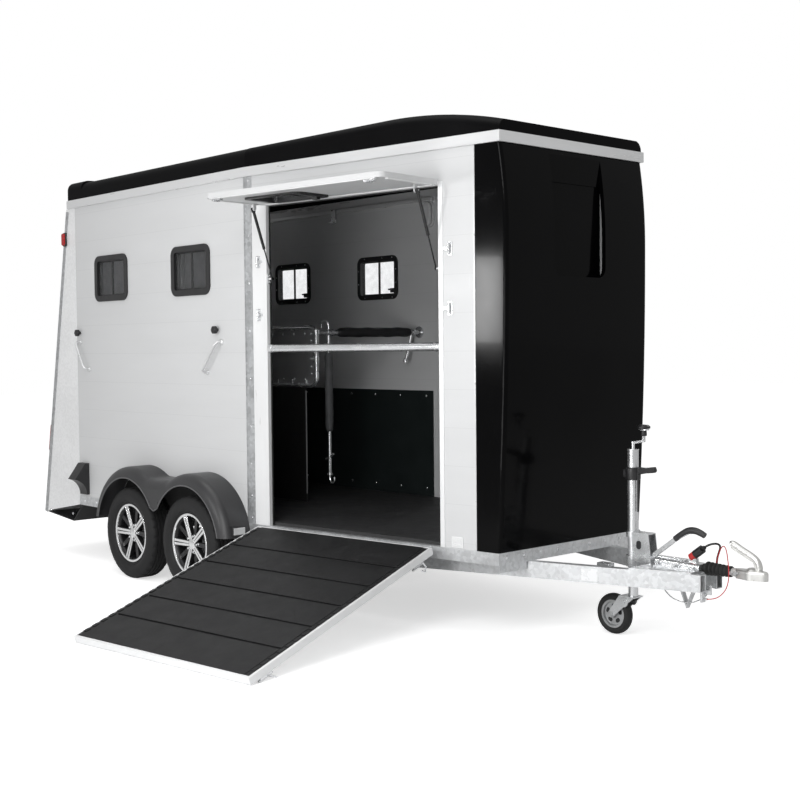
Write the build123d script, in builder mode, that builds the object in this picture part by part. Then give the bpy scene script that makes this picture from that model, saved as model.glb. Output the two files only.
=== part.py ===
from build123d import *
from math import asin, atan2, cos, degrees, hypot, radians, sin, tan
import os

# Horse trailer for two horses, tandem axle, standing on its tyres and jockey wheel.
# Millimetres. Origin at the centre of the ball socket, +X forward, +Y left, +Z up.

os.makedirs("parts", exist_ok=True)

# Heights are written above the ground and turned into z by up()
BALL_HEIGHT = 430


def up(height):
    return height - BALL_HEIGHT


# Body plan: a straight rear section, a tapered front section and a blunt nose
HALF_WIDTH = 850
REAR_X = -5300
KINK_X = -3095
NOSE_X = -1135
NOSE_HALF_WIDTH = 616
WALL = 30
RAIL_TOP = up(481)
WALL_TOP = up(2670)
BAND_TOP = up(2729)
BAND_PROUD = 12
TAPER = atan2(HALF_WIDTH - NOSE_HALF_WIDTH, NOSE_X - KINK_X)

# Chassis
RAIL_HEIGHT = 68
RAIL_WIDTH = 50
RAIL_PROUD = 4
RAIL_BOTTOM = RAIL_TOP - RAIL_HEIGHT
FRAME_FRONT_X = -1150
CROSS_WIDTH = 60
CROSS_HEIGHT = 50
STUB_HEIGHT = 38
DECK = 21

# Drawbar
BEAM_WIDTH = 50
BEAM_HEIGHT = 90
BEAM_WALL = 5
BEAM_FRONT_X = -240
BEAM_REAR_X = -1950
BEAM_FRONT_Y = 100
BEAM_ANGLE = radians(17.35)

# Wheels
TYRE_RADIUS = 317
TYRE_WIDTH = 185
TYRE_GAP = 10
RIM_RADIUS = 203
SEAT_RADIUS = 190
STUB_RADIUS = 20
RUNNING_GAP = 0.05
AXLES_X = (-3530, -4270)
WHEEL_Y = HALF_WIDTH + TYRE_GAP + TYRE_WIDTH / 2
HUB_Z = up(TYRE_RADIUS)

# Mudguards
GUARD_RADIUS = 462
GUARD_OPENING = 384
GUARD_SHOULDER = 66
GUARD_VALLEY = 400
GUARD_OUTER_Y = HALF_WIDTH + TYRE_GAP + TYRE_WIDTH + 16
GUARD_SKIN = 5
GUARD_BOTTOM = up(400)
GUARD_BLEND = 120

# Side windows: rounded frames clamped through the wall
WINDOW_LENGTH = 463
WINDOW_HEIGHT = 335
WINDOW_TOP = up(2283)
WINDOW_STARTS = (298, 1343)
WINDOW_CORNER = 62
FLANGE = 24
LEDGE = 16
FRAME_PROUD = 10
GLASS = 5
OPENING_CORNER = WINDOW_CORNER - FLANGE - LEDGE

# Side door: lower half is the ramp, upper half the hatch
DOOR_START = 190
DOOR_END = 1560
DOOR_TOP = up(2475)
POST_START = 62
JAMB_WIDTH = 30
PILLAR_END = 1810
DOOR_FRAME_PROUD = 4
STRIP = 3
STRIP_BACK = 15

# Nose
NOSE_BULGE = 44
BULGE_Z = up(2180)
NOSE_FOOT_BACK = 15
NOSE_SKIN = 26
NOSE_CORNER = 24
POCKET_HALF = 222
POCKET_BOTTOM = up(1975)
POCKET_CORNER = 58
POCKET_LENGTH = 900

# Roof
ROOF_REAR_X = -5405
ROOF_EDGE_TOP = up(2856)
ROOF_CROWN = 16
ROOF_SHOULDER = 64
ROOF_FRONT_SHOULDER = 56
ROOF_SKIN = 25
ROOF_PEAK_X = -1950
ROOF_PEAK_TOP = ROOF_EDGE_TOP + 28
ROOF_NOSE_TOP = up(2792)
CAP_LENGTH = 210
CAP_RISE = 14

# Rear: slanted frame, lower ramp and upper flap
REAR_LINE_TOP = (-5435, up(2651))
REAR_LINE_FOOT = (-5876, up(315))
REAR_TILT = atan2(REAR_LINE_TOP[0] - REAR_LINE_FOOT[0], REAR_LINE_TOP[1] - REAR_LINE_FOOT[1])
POST_DEPTH = 52
POST_WIDTH = 58
WEDGE_SHEET = 4
REAR_GAP = 7
REAR_PANEL = 40

# Side ramp
RAMP_LENGTH = 1455
RAMP_WIDTH = 1396
RAMP_MID = 855
RAMP_START = 20
RAMP_PANEL = 34
RAMP_MAT = 8
RAMP_HINGE_OUT = 46
RAMP_HINGE_Z = up(463)
RAMP_FACE = 30
RAMP_FOOT_GAP = 3

# Side hatch
HATCH_LENGTH = 480
HATCH_START = 12
HATCH_WIDTH = 1390
HATCH_MID = 894
HATCH_PANEL = 30
HATCH_HINGE_OUT = 30
HATCH_HINGE_Z = up(2490)
HATCH_FACE = 18

# Gas struts: places are out from the wall and z
STRUT_ALONG = (
    max(DOOR_START + 32, HATCH_MID - HATCH_WIDTH / 2 + 23),
    min(DOOR_END - 32, HATCH_MID + HATCH_WIDTH / 2 - 61),
)
STRUT_HATCH_PIN = (140, up(2440))
STRUT_JAMB_PIN = (-16, up(2022))
BARREL_RADIUS = 9
ROD_RADIUS = 4
EYE_LENGTH = 10
STUD_RADIUS = 6
STUD_GAP = 0.5

# Jockey wheel
JOCKEY_X = -734
JOCKEY_TUBE_RADIUS = 30
JOCKEY_TUBE_BORE = 26.5
JOCKEY_WHEEL_RADIUS = 112.5
JOCKEY_WHEEL_WIDTH = 58
JOCKEY_TRAIL = 125
JOCKEY_TOP = up(1027)

# Hinges: knuckles of a moving panel run on pins held by lugs
KNUCKLE_RADIUS = 9
KNUCKLE_LENGTH = 90
PIN_RADIUS = 5
PIN_GAP = 0.05
LUG_LENGTH = 16
LUG_GAP = 0.5
RAMP_HINGES = (138 - RAMP_WIDTH / 2, 0, RAMP_WIDTH / 2 - 138)
HATCH_HINGES = (135 - HATCH_WIDTH / 2, 0, HATCH_WIDTH / 2 - 135)
REAR_HINGES = (-640, 0, 640)
REAR_HINGE_OUT = 12
PIN_LENGTH = KNUCKLE_LENGTH + 2 * LUG_GAP + LUG_LENGTH
LUG_MID = (KNUCKLE_LENGTH + LUG_LENGTH) / 2 + LUG_GAP


def half_width_at(x, offset=0):
    straight = HALF_WIDTH + offset
    tapered = HALF_WIDTH - (x - KINK_X) * tan(TAPER) + offset / cos(TAPER)
    return min(straight, tapered)


def plan_points(offset, rear_x, front_x):
    """Plan of the body between two stations, its sides moved outwards by offset."""
    kink = KINK_X + offset * (1 / cos(TAPER) - 1) / tan(TAPER)
    right = [(rear_x, -half_width_at(rear_x, offset))]
    if rear_x < kink < front_x:
        right.append((kink, -(HALF_WIDTH + offset)))
    right.append((front_x, -half_width_at(front_x, offset)))
    return right + [(x, -y) for x, y in reversed(right)]


def rear_line_x(z, inset=0):
    """The slanted rear line at a height, moved forward by inset."""
    return REAR_LINE_FOOT[0] + (z - REAR_LINE_FOOT[1]) * tan(REAR_TILT) + inset


# The right-hand tapered wall: local x runs forward along it, y up, z outwards
ALONG = Vector(cos(TAPER), sin(TAPER), 0)
OUT = Vector(sin(TAPER), -cos(TAPER), 0)
TAPER_ORIGIN = Vector(KINK_X, -HALF_WIDTH, 0)
TAPER_PLANE = Plane(origin=TAPER_ORIGIN, x_dir=ALONG, z_dir=OUT)
REAR_SIDE_PLANE = Plane(origin=(REAR_X, -HALF_WIDTH, 0), x_dir=(1, 0, 0), z_dir=(0, -1, 0))


def on_taper(along, out, z):
    return TAPER_ORIGIN + ALONG * along + OUT * out + Vector(0, 0, z)


# Cross-sections of the tapered side: local x outwards, y up, z rearwards along the wall
WALL_SIDE = Plane(origin=on_taper(0, 0, 0), x_dir=OUT, z_dir=ALONG * -1)


def beam_outer_y(x):
    return BEAM_FRONT_Y + (BEAM_FRONT_X - x) * tan(BEAM_ANGLE)


# Chassis frame: perimeter rails, cross members and the stubs under the front corners
CROSS_X = (-4950, -4460, -3720, -2800, -2200, -1700)
with BuildPart() as chassis_frame:
    with BuildSketch(Plane.XY.offset(RAIL_BOTTOM)):
        with BuildLine():
            Polyline(*plan_points(RAIL_PROUD, REAR_X, FRAME_FRONT_X), close=True)
        make_face()
        with BuildLine():
            Polyline(*plan_points(-RAIL_WIDTH, REAR_X + RAIL_WIDTH, FRAME_FRONT_X - RAIL_WIDTH), close=True)
        make_face(mode=Mode.SUBTRACT)
    extrude(amount=RAIL_HEIGHT)
    for cross_x in CROSS_X:
        with BuildSketch(Plane.XY.offset(RAIL_TOP - CROSS_HEIGHT)):
            with Locations((cross_x, 0)):
                Rectangle(CROSS_WIDTH, 2 * (half_width_at(cross_x) - RAIL_WIDTH) + 10)
        extrude(amount=CROSS_HEIGHT)
    for side in (-1, 1):
        stub_outer = half_width_at(FRAME_FRONT_X) - 6
        stub_inner = beam_outer_y(FRAME_FRONT_X - RAIL_WIDTH) + 1
        with BuildSketch(Plane.XY.offset(RAIL_BOTTOM - STUB_HEIGHT)):
            with Locations((FRAME_FRONT_X - RAIL_WIDTH / 2, side * (stub_outer + stub_inner) / 2)):
                Rectangle(RAIL_WIDTH, stub_outer - stub_inner)
        extrude(amount=STUB_HEIGHT)
    for hinge_y in RAMP_HINGES:
        for lug_mid in (RAMP_MID + hinge_y - LUG_MID, RAMP_MID + hinge_y + LUG_MID):
            with BuildSketch(WALL_SIDE.offset(-lug_mid - LUG_LENGTH / 2)):
                with Locations((RAMP_HINGE_OUT, RAMP_HINGE_Z)):
                    Circle(KNUCKLE_RADIUS)
                with Locations((RAMP_HINGE_OUT / 2, RAMP_HINGE_Z)):
                    Rectangle(RAMP_HINGE_OUT, 2 * KNUCKLE_RADIUS - 4)
            extrude(amount=LUG_LENGTH)
        with BuildSketch(WALL_SIDE.offset(-RAMP_MID - hinge_y - PIN_LENGTH / 2)):
            with Locations((RAMP_HINGE_OUT, RAMP_HINGE_Z)):
                Circle(PIN_RADIUS)
        extrude(amount=PIN_LENGTH)
chassis_frame.part.label = "chassis_frame"
export_step(chassis_frame.part, "parts/chassis_frame.step")


# Drawbar: two tubes that meet at the overrun housing, and the plate that ties them
BEAM_ACROSS = BEAM_WIDTH / cos(BEAM_ANGLE)
TIE_FRONT_X = -288
TIE_REAR_X = -606
TIE_PLATE = 8
TIE_SETBACK = 4
GLAND_PLACE = (-262, 82)
GLAND_RADIUS = 11
GLAND_TOP = RAIL_BOTTOM + 16
EYELET_PLACE = (-250, 62)
EYELET_RADIUS = 6
EYELET_TOP = RAIL_BOTTOM + 10
V_TIP = (-383, up(211))
V_SPREAD = 90
V_STRAP = 12
V_HALF = 15
with BuildPart() as drawbar:
    for side in (-1, 1):
        for shrink, mode in ((0, Mode.ADD), (BEAM_WALL, Mode.SUBTRACT)):
            outline = [
                (BEAM_REAR_X, side * (beam_outer_y(BEAM_REAR_X) - shrink)),
                (BEAM_FRONT_X, side * (beam_outer_y(BEAM_FRONT_X) - shrink)),
                (BEAM_FRONT_X, side * (beam_outer_y(BEAM_FRONT_X) - BEAM_ACROSS + shrink)),
                (BEAM_REAR_X, side * (beam_outer_y(BEAM_REAR_X) - BEAM_ACROSS + shrink)),
            ]
            with BuildSketch(Plane.XY.offset(RAIL_BOTTOM - BEAM_HEIGHT + shrink)):
                with BuildLine():
                    Polyline(*outline, close=True)
                make_face()
            extrude(amount=BEAM_HEIGHT - 2 * shrink, mode=mode)
    with BuildSketch(Plane.XY.offset(RAIL_BOTTOM)):
        with BuildLine():
            Polyline(
                (TIE_REAR_X, beam_outer_y(TIE_REAR_X) - TIE_SETBACK),
                (TIE_FRONT_X, beam_outer_y(TIE_FRONT_X) - TIE_SETBACK),
                (TIE_FRONT_X, TIE_SETBACK - beam_outer_y(TIE_FRONT_X)),
                (TIE_REAR_X, TIE_SETBACK - beam_outer_y(TIE_REAR_X)),
                close=True,
            )
        make_face()
    extrude(amount=TIE_PLATE)
    with BuildSketch(Plane.XY.offset(RAIL_BOTTOM)):
        with Locations(GLAND_PLACE):
            Circle(GLAND_RADIUS)
    extrude(amount=GLAND_TOP - RAIL_BOTTOM)
    with BuildSketch(Plane.XY.offset(RAIL_BOTTOM)):
        with Locations(EYELET_PLACE):
            Circle(EYELET_RADIUS)
    extrude(amount=EYELET_TOP - RAIL_BOTTOM)
    with BuildSketch(Plane.XZ.offset(-V_HALF)):
        with BuildLine():
            Polyline(
                (V_TIP[0] - V_SPREAD, RAIL_BOTTOM + 1),
                (V_TIP[0], V_TIP[1]),
                (V_TIP[0] + V_SPREAD, RAIL_BOTTOM + 1),
                (V_TIP[0] + V_SPREAD - V_STRAP, RAIL_BOTTOM + 1),
                (V_TIP[0], V_TIP[1] + 5 * V_STRAP / 3),
                (V_TIP[0] - V_SPREAD + V_STRAP, RAIL_BOTTOM + 1),
                close=True,
            )
        make_face()
    extrude(amount=2 * V_HALF)
drawbar.part.label = "drawbar"
export_step(drawbar.part, "parts/drawbar.step")

# Axles: a tube across, a trailing arm and a stub at each end
AXLE_LEAD = 150
AXLE_TUBE_RADIUS = 38
AXLE_Z = up(372)
ARM_THICKNESS = 26
ARM_INNER_Y = HALF_WIDTH - 62
STUB_END_Y = WHEEL_Y + 22
MOUNT_LENGTH = 110
MOUNT_WIDTH = 40
BACKPLATE_RADIUS = 105
BACKPLATE_Y = HALF_WIDTH + TYRE_GAP + 14
with BuildPart() as axles:
    for axle_x in AXLES_X:
        tube_half = ARM_INNER_Y + ARM_THICKNESS
        with BuildSketch(Plane.XZ.offset(-tube_half)):
            with Locations((axle_x + AXLE_LEAD, AXLE_Z)):
                RegularPolygon(AXLE_TUBE_RADIUS, 6)
        extrude(amount=2 * tube_half)
        for side in (-1, 1):
            with BuildSketch(Plane.XY.offset(AXLE_Z)):
                with Locations((axle_x + AXLE_LEAD, side * (HALF_WIDTH - RAIL_WIDTH))):
                    Rectangle(MOUNT_LENGTH, MOUNT_WIDTH)
            extrude(amount=RAIL_BOTTOM - AXLE_Z)
            with BuildSketch(Plane.XZ.offset(-side * ARM_INNER_Y)):
                with BuildLine():
                    Polyline(
                        (axle_x + AXLE_LEAD, AXLE_Z + 34),
                        (axle_x, HUB_Z + 30),
                        (axle_x, HUB_Z - 30),
                        (axle_x + AXLE_LEAD, AXLE_Z - 34),
                        close=True,
                    )
                make_face()
                with Locations((axle_x, HUB_Z)):
                    Circle(30)
            extrude(amount=-side * ARM_THICKNESS)
            with BuildSketch(Plane.XZ.offset(-side * ARM_INNER_Y)):
                with Locations((axle_x, HUB_Z)):
                    Circle(STUB_RADIUS)
            extrude(amount=-side * (STUB_END_Y - ARM_INNER_Y))
            with BuildSketch(Plane.XZ.offset(-side * BACKPLATE_Y)):
                with Locations((axle_x, HUB_Z)):
                    Circle(BACKPLATE_RADIUS)
            extrude(amount=-side * 6)
axles.part.label = "axles"
export_step(axles.part, "parts/axles.step")


# Floor deck: sits on the rails inside the walls
DECK_GAP = 1
DECK_FRONT = NOSE_X - NOSE_FOOT_BACK - NOSE_SKIN - DECK_GAP
with BuildPart() as floor_deck:
    with BuildSketch(Plane.XY.offset(RAIL_TOP)):
        with BuildLine():
            Polyline(*plan_points(-WALL - DECK_GAP, REAR_X, DECK_FRONT), close=True)
        make_face()
    extrude(amount=DECK)
floor_deck.part.label = "floor_deck"
export_step(floor_deck.part, "parts/floor_deck.step")

# Side walls of the straight section, with two window holes each
REAR_WALL_LENGTH = KINK_X - REAR_X
HOLE_LENGTH = WINDOW_LENGTH - 2 * FLANGE + 2
HOLE_HEIGHT = WINDOW_HEIGHT - 2 * FLANGE + 2
WINDOW_MID_Z = WINDOW_TOP - WINDOW_HEIGHT / 2
WINDOW_MIDS = [start + WINDOW_LENGTH / 2 for start in WINDOW_STARTS]
with BuildPart() as side_walls:
    with BuildSketch(REAR_SIDE_PLANE):
        with Locations((REAR_WALL_LENGTH / 2, (RAIL_TOP + WALL_TOP) / 2)):
            Rectangle(REAR_WALL_LENGTH, WALL_TOP - RAIL_TOP)
        with Locations(*[(mid, WINDOW_MID_Z) for mid in WINDOW_MIDS]):
            RectangleRounded(HOLE_LENGTH, HOLE_HEIGHT, WINDOW_CORNER - FLANGE, mode=Mode.SUBTRACT)
    extrude(amount=-WALL)
    mirror(about=Plane.XZ)
side_walls.part.label = "side_walls"
export_step(side_walls.part, "parts/side_walls.step")

# Tapered walls: the right one is the header and pillar round the door
JAMB_END = DOOR_END + JAMB_WIDTH
HEADER_BOTTOM = DOOR_TOP + 20
MITRE = 3.8
with BuildPart() as front_walls:
    with BuildSketch(TAPER_PLANE):
        with Locations(((MITRE + PILLAR_END) / 2, (RAIL_TOP + WALL_TOP) / 2)):
            Rectangle(PILLAR_END - MITRE, WALL_TOP - RAIL_TOP)
    extrude(amount=-WALL)
    mirror(about=Plane.XZ)
    with BuildSketch(TAPER_PLANE):
        with Locations(((POST_START + JAMB_END) / 2, (RAIL_TOP + HEADER_BOTTOM) / 2)):
            Rectangle(JAMB_END - POST_START, HEADER_BOTTOM - RAIL_TOP)
    extrude(amount=-WALL, mode=Mode.SUBTRACT)
front_walls.part.label = "front_walls"
export_step(front_walls.part, "parts/front_walls.step")

# Door frame: the extruded post, the head and the front jamb line the opening
with BuildPart() as door_frame:
    with BuildSketch(TAPER_PLANE.offset(DOOR_FRAME_PROUD)):
        with Locations(((POST_START + JAMB_END) / 2, (RAIL_TOP + HEADER_BOTTOM) / 2)):
            Rectangle(JAMB_END - POST_START, HEADER_BOTTOM - RAIL_TOP)
        with Locations(((DOOR_START + DOOR_END) / 2, (RAIL_TOP + DOOR_TOP) / 2)):
            Rectangle(DOOR_END - DOOR_START, DOOR_TOP - RAIL_TOP, mode=Mode.SUBTRACT)
    extrude(amount=-(WALL + DOOR_FRAME_PROUD))
    for hinge_x in HATCH_HINGES:
        for lug_mid in (HATCH_MID + hinge_x - LUG_MID, HATCH_MID + hinge_x + LUG_MID):
            with BuildSketch(WALL_SIDE.offset(-lug_mid - LUG_LENGTH / 2)):
                with Locations((HATCH_HINGE_OUT, HATCH_HINGE_Z)):
                    Circle(KNUCKLE_RADIUS)
                with Locations(((HATCH_HINGE_OUT + 2) / 2, HATCH_HINGE_Z - 3)):
                    Rectangle(HATCH_HINGE_OUT - 2, 2 * KNUCKLE_RADIUS - 6)
            extrude(amount=LUG_LENGTH)
        with BuildSketch(WALL_SIDE.offset(-HATCH_MID - hinge_x - PIN_LENGTH / 2)):
            with Locations((HATCH_HINGE_OUT, HATCH_HINGE_Z)):
                Circle(PIN_RADIUS)
        extrude(amount=PIN_LENGTH)
    for strut_along, jamb in ((STRUT_ALONG[0], DOOR_START), (STRUT_ALONG[1], DOOR_END)):
        reach = abs(strut_along - jamb) - EYE_LENGTH / 2 - STUD_GAP
        towards = 1 if strut_along > jamb else -1
        with BuildSketch(WALL_SIDE.offset(-jamb)):
            with Locations(STRUT_JAMB_PIN):
                Circle(STUD_RADIUS)
        extrude(amount=-towards * reach)
door_frame.part.label = "door_frame"
export_step(door_frame.part, "parts/door_frame.step")

# Galvanised strips over the kink between straight and tapered walls
STRIP_GAP = 0.3
with BuildPart() as joint_strips:
    for side in (-1, 1):
        inner_y = HALF_WIDTH + STRIP_GAP
        outer_y = inner_y + STRIP
        bend = KINK_X + 0.4
        front_dx = (POST_START - 3) * cos(TAPER)
        front_dy = (POST_START - 3) * sin(TAPER)
        with BuildSketch(Plane.XY.offset(RAIL_TOP)):
            with BuildLine():
                Polyline(
                    (KINK_X - STRIP_BACK, side * inner_y),
                    (bend, side * inner_y),
                    (bend + front_dx, side * (inner_y - front_dy)),
                    (bend + front_dx, side * (outer_y - front_dy)),
                    (bend, side * outer_y),
                    (KINK_X - STRIP_BACK, side * outer_y),
                    close=True,
                )
            make_face()
        extrude(amount=WALL_TOP - RAIL_TOP - 1)
joint_strips.part.label = "joint_strips"
export_step(joint_strips.part, "parts/joint_strips.step")

# Nose shell: bulged front with an open pocket, wrapped a little round each side
NOSE_BACK_X = KINK_X + PILLAR_END * cos(TAPER) + 0.5
POCKET_FLOOR_X = NOSE_X - 16
POCKET_LEAN = atan2(22, WALL_TOP - POCKET_BOTTOM)
POCKET_SKIN = 12


def nose_profile(inset):
    """Side view of the nose, its bulge moved back by inset."""
    bulge = (NOSE_X + NOSE_BULGE - inset, BULGE_Z)
    foot = (NOSE_X - NOSE_FOOT_BACK - inset, RAIL_TOP)
    head = (NOSE_X - inset, WALL_TOP)
    TangentArc(bulge, foot, tangent=(0, -1))
    TangentArc(bulge, head, tangent=(0, 1))
    Polyline(head, (NOSE_BACK_X - 10, WALL_TOP), (NOSE_BACK_X - 10, RAIL_TOP), foot)


with BuildPart() as nose_core:
    with BuildSketch(Plane.XY.offset(RAIL_TOP)):
        with BuildLine():
            Polyline(*plan_points(-NOSE_SKIN, NOSE_BACK_X - 5, NOSE_X + NOSE_BULGE), close=True)
        make_face()
    extrude(amount=WALL_TOP - RAIL_TOP)
    with BuildSketch(Plane.XZ.offset(-HALF_WIDTH)):
        with BuildLine():
            nose_profile(NOSE_SKIN)
        make_face()
    extrude(amount=2 * HALF_WIDTH, mode=Mode.INTERSECT)

with BuildPart() as nose_shell:
    with BuildSketch(Plane.XY.offset(RAIL_TOP)):
        with BuildLine():
            Polyline(*plan_points(0, NOSE_BACK_X, NOSE_X + NOSE_BULGE + 20), close=True)
        make_face()
    extrude(amount=WALL_TOP - RAIL_TOP)
    with BuildSketch(Plane.XZ.offset(-HALF_WIDTH)):
        with BuildLine():
            nose_profile(0)
        make_face()
    extrude(amount=2 * HALF_WIDTH, mode=Mode.INTERSECT)
    corner_edges = nose_shell.edges().filter_by(lambda e: e.center().X > NOSE_X - 40
                                                and abs(e.center().Y) > NOSE_HALF_WIDTH - 30
                                                and e.bounding_box().size.Z > 200)
    fillet(corner_edges, NOSE_CORNER)
    add(nose_core.part, mode=Mode.SUBTRACT)
    with BuildSketch(Plane.XY.offset(POCKET_BOTTOM - POCKET_SKIN)):
        with Locations((POCKET_FLOOR_X - 6, 0)):
            Rectangle(2 * POCKET_SKIN + 8, 2 * (POCKET_HALF + POCKET_SKIN))
    extrude(amount=WALL_TOP - POCKET_BOTTOM + POCKET_SKIN)
    pocket_plane = Plane(origin=(POCKET_FLOOR_X, 0, POCKET_BOTTOM), x_dir=(0, 1, 0),
                         z_dir=(cos(POCKET_LEAN), 0, -sin(POCKET_LEAN)))
    with BuildSketch(pocket_plane):
        with Locations((0, POCKET_LENGTH / 2)):
            RectangleRounded(2 * POCKET_HALF, POCKET_LENGTH, POCKET_CORNER)
    extrude(amount=150, mode=Mode.SUBTRACT)
nose_shell.part.label = "nose_shell"
export_step(nose_shell.part, "parts/nose_shell.step")

# Silver band round the top of the walls, open at the rear
with BuildPart() as trim_band:
    with BuildSketch(Plane.XY.offset(WALL_TOP)):
        with BuildLine():
            Polyline(*plan_points(BAND_PROUD, ROOF_REAR_X, NOSE_X + BAND_PROUD), close=True)
        make_face()
        with BuildLine():
            Polyline(*plan_points(-WALL, ROOF_REAR_X - 10, NOSE_X - WALL), close=True)
        make_face(mode=Mode.SUBTRACT)
    extrude(amount=BAND_TOP - WALL_TOP)
trim_band.part.label = "trim_band"
export_step(trim_band.part, "parts/trim_band.step")


def roof_section(inset, floor_z, rise=0):
    """Shouldered and slightly crowned cross-section of the roof."""
    side_y = HALF_WIDTH - inset
    shoulder = ROOF_SHOULDER - inset
    top = ROOF_EDGE_TOP - inset + rise
    crown = top + ROOF_CROWN
    Polyline((-side_y, top - shoulder), (-side_y, floor_z), (side_y, floor_z), (side_y, top - shoulder))
    RadiusArc((side_y, top - shoulder), (side_y - shoulder, top), -shoulder)
    ThreePointArc((side_y - shoulder, top), (0, crown), (shoulder - side_y, top))
    RadiusArc((shoulder - side_y, top), (-side_y, top - shoulder), -shoulder)


# Rear roof moulding, with a raised cap over its last stretch
with BuildPart() as roof_rear:
    with BuildSketch(Plane.YZ.offset(ROOF_REAR_X)):
        with BuildLine():
            roof_section(0, BAND_TOP)
        make_face()
    extrude(amount=KINK_X - 0.5 - ROOF_REAR_X)
    with BuildSketch(Plane.YZ.offset(ROOF_REAR_X)):
        with BuildLine():
            roof_section(0, BAND_TOP + 20, CAP_RISE)
        make_face()
    extrude(amount=CAP_LENGTH)
    with BuildSketch(Plane.YZ.offset(ROOF_REAR_X + ROOF_SKIN)):
        with BuildLine():
            roof_section(ROOF_SKIN, BAND_TOP)
        make_face()
    extrude(amount=KINK_X - ROOF_REAR_X, mode=Mode.SUBTRACT)
roof_rear.part.label = "roof_rear"
export_step(roof_rear.part, "parts/roof_rear.step")


def roof_front_profile(inset):
    """Side view of the front roof: a slow rise, then an arc down to the nose."""
    start = (KINK_X, ROOF_EDGE_TOP - inset)
    peak = (ROOF_PEAK_X, ROOF_PEAK_TOP - inset)
    end = (NOSE_X - inset, ROOF_NOSE_TOP - inset)
    Line(start, peak)
    TangentArc(peak, end, tangent=(peak[0] - start[0], peak[1] - start[1]))
    Polyline(end, (end[0], BAND_TOP), (start[0], BAND_TOP), start)


def roof_front_body(inset):
    """Front roof as a solid: tapered in plan, falling towards the nose."""
    with BuildPart() as body:
        with BuildSketch(Plane.XY.offset(BAND_TOP)):
            with BuildLine():
                Polyline(*plan_points(-inset, KINK_X, NOSE_X - inset), close=True)
            make_face()
        extrude(amount=200)
        with BuildSketch(Plane.XZ.offset(-HALF_WIDTH)):
            with BuildLine():
                roof_front_profile(inset)
            make_face()
        extrude(amount=2 * HALF_WIDTH, mode=Mode.INTERSECT)
        long_edges = body.edges().filter_by(lambda e: e.center().Z > BAND_TOP + 30
                                            and e.bounding_box().size.X > 300
                                            and abs(e.center().Y) > 400)
        fillet(long_edges, ROOF_FRONT_SHOULDER - inset)
    return body.part


roof_front_outer = roof_front_body(0)
roof_front_inner = roof_front_body(ROOF_SKIN)
with BuildPart() as roof_front:
    add(roof_front_outer)
    add(roof_front_inner, mode=Mode.SUBTRACT)
roof_front.part.label = "roof_front"
export_step(roof_front.part, "parts/roof_front.step")

# Rear frame: slanted posts, head and sill, with the wedge sheets beside the body
POST_RUN = POST_DEPTH / cos(REAR_TILT)
HEAD_HEIGHT = 46
SILL_HEIGHT = 60
SILL_TOP = REAR_LINE_FOOT[1] + SILL_HEIGHT
REAR_FRAME_TOP = WALL_TOP - 0.5
THRESHOLD = 6
THRESHOLD_SETBACK = 4
WEDGE_SETBACK = 10
WALL_GAP = 0.5

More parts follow.
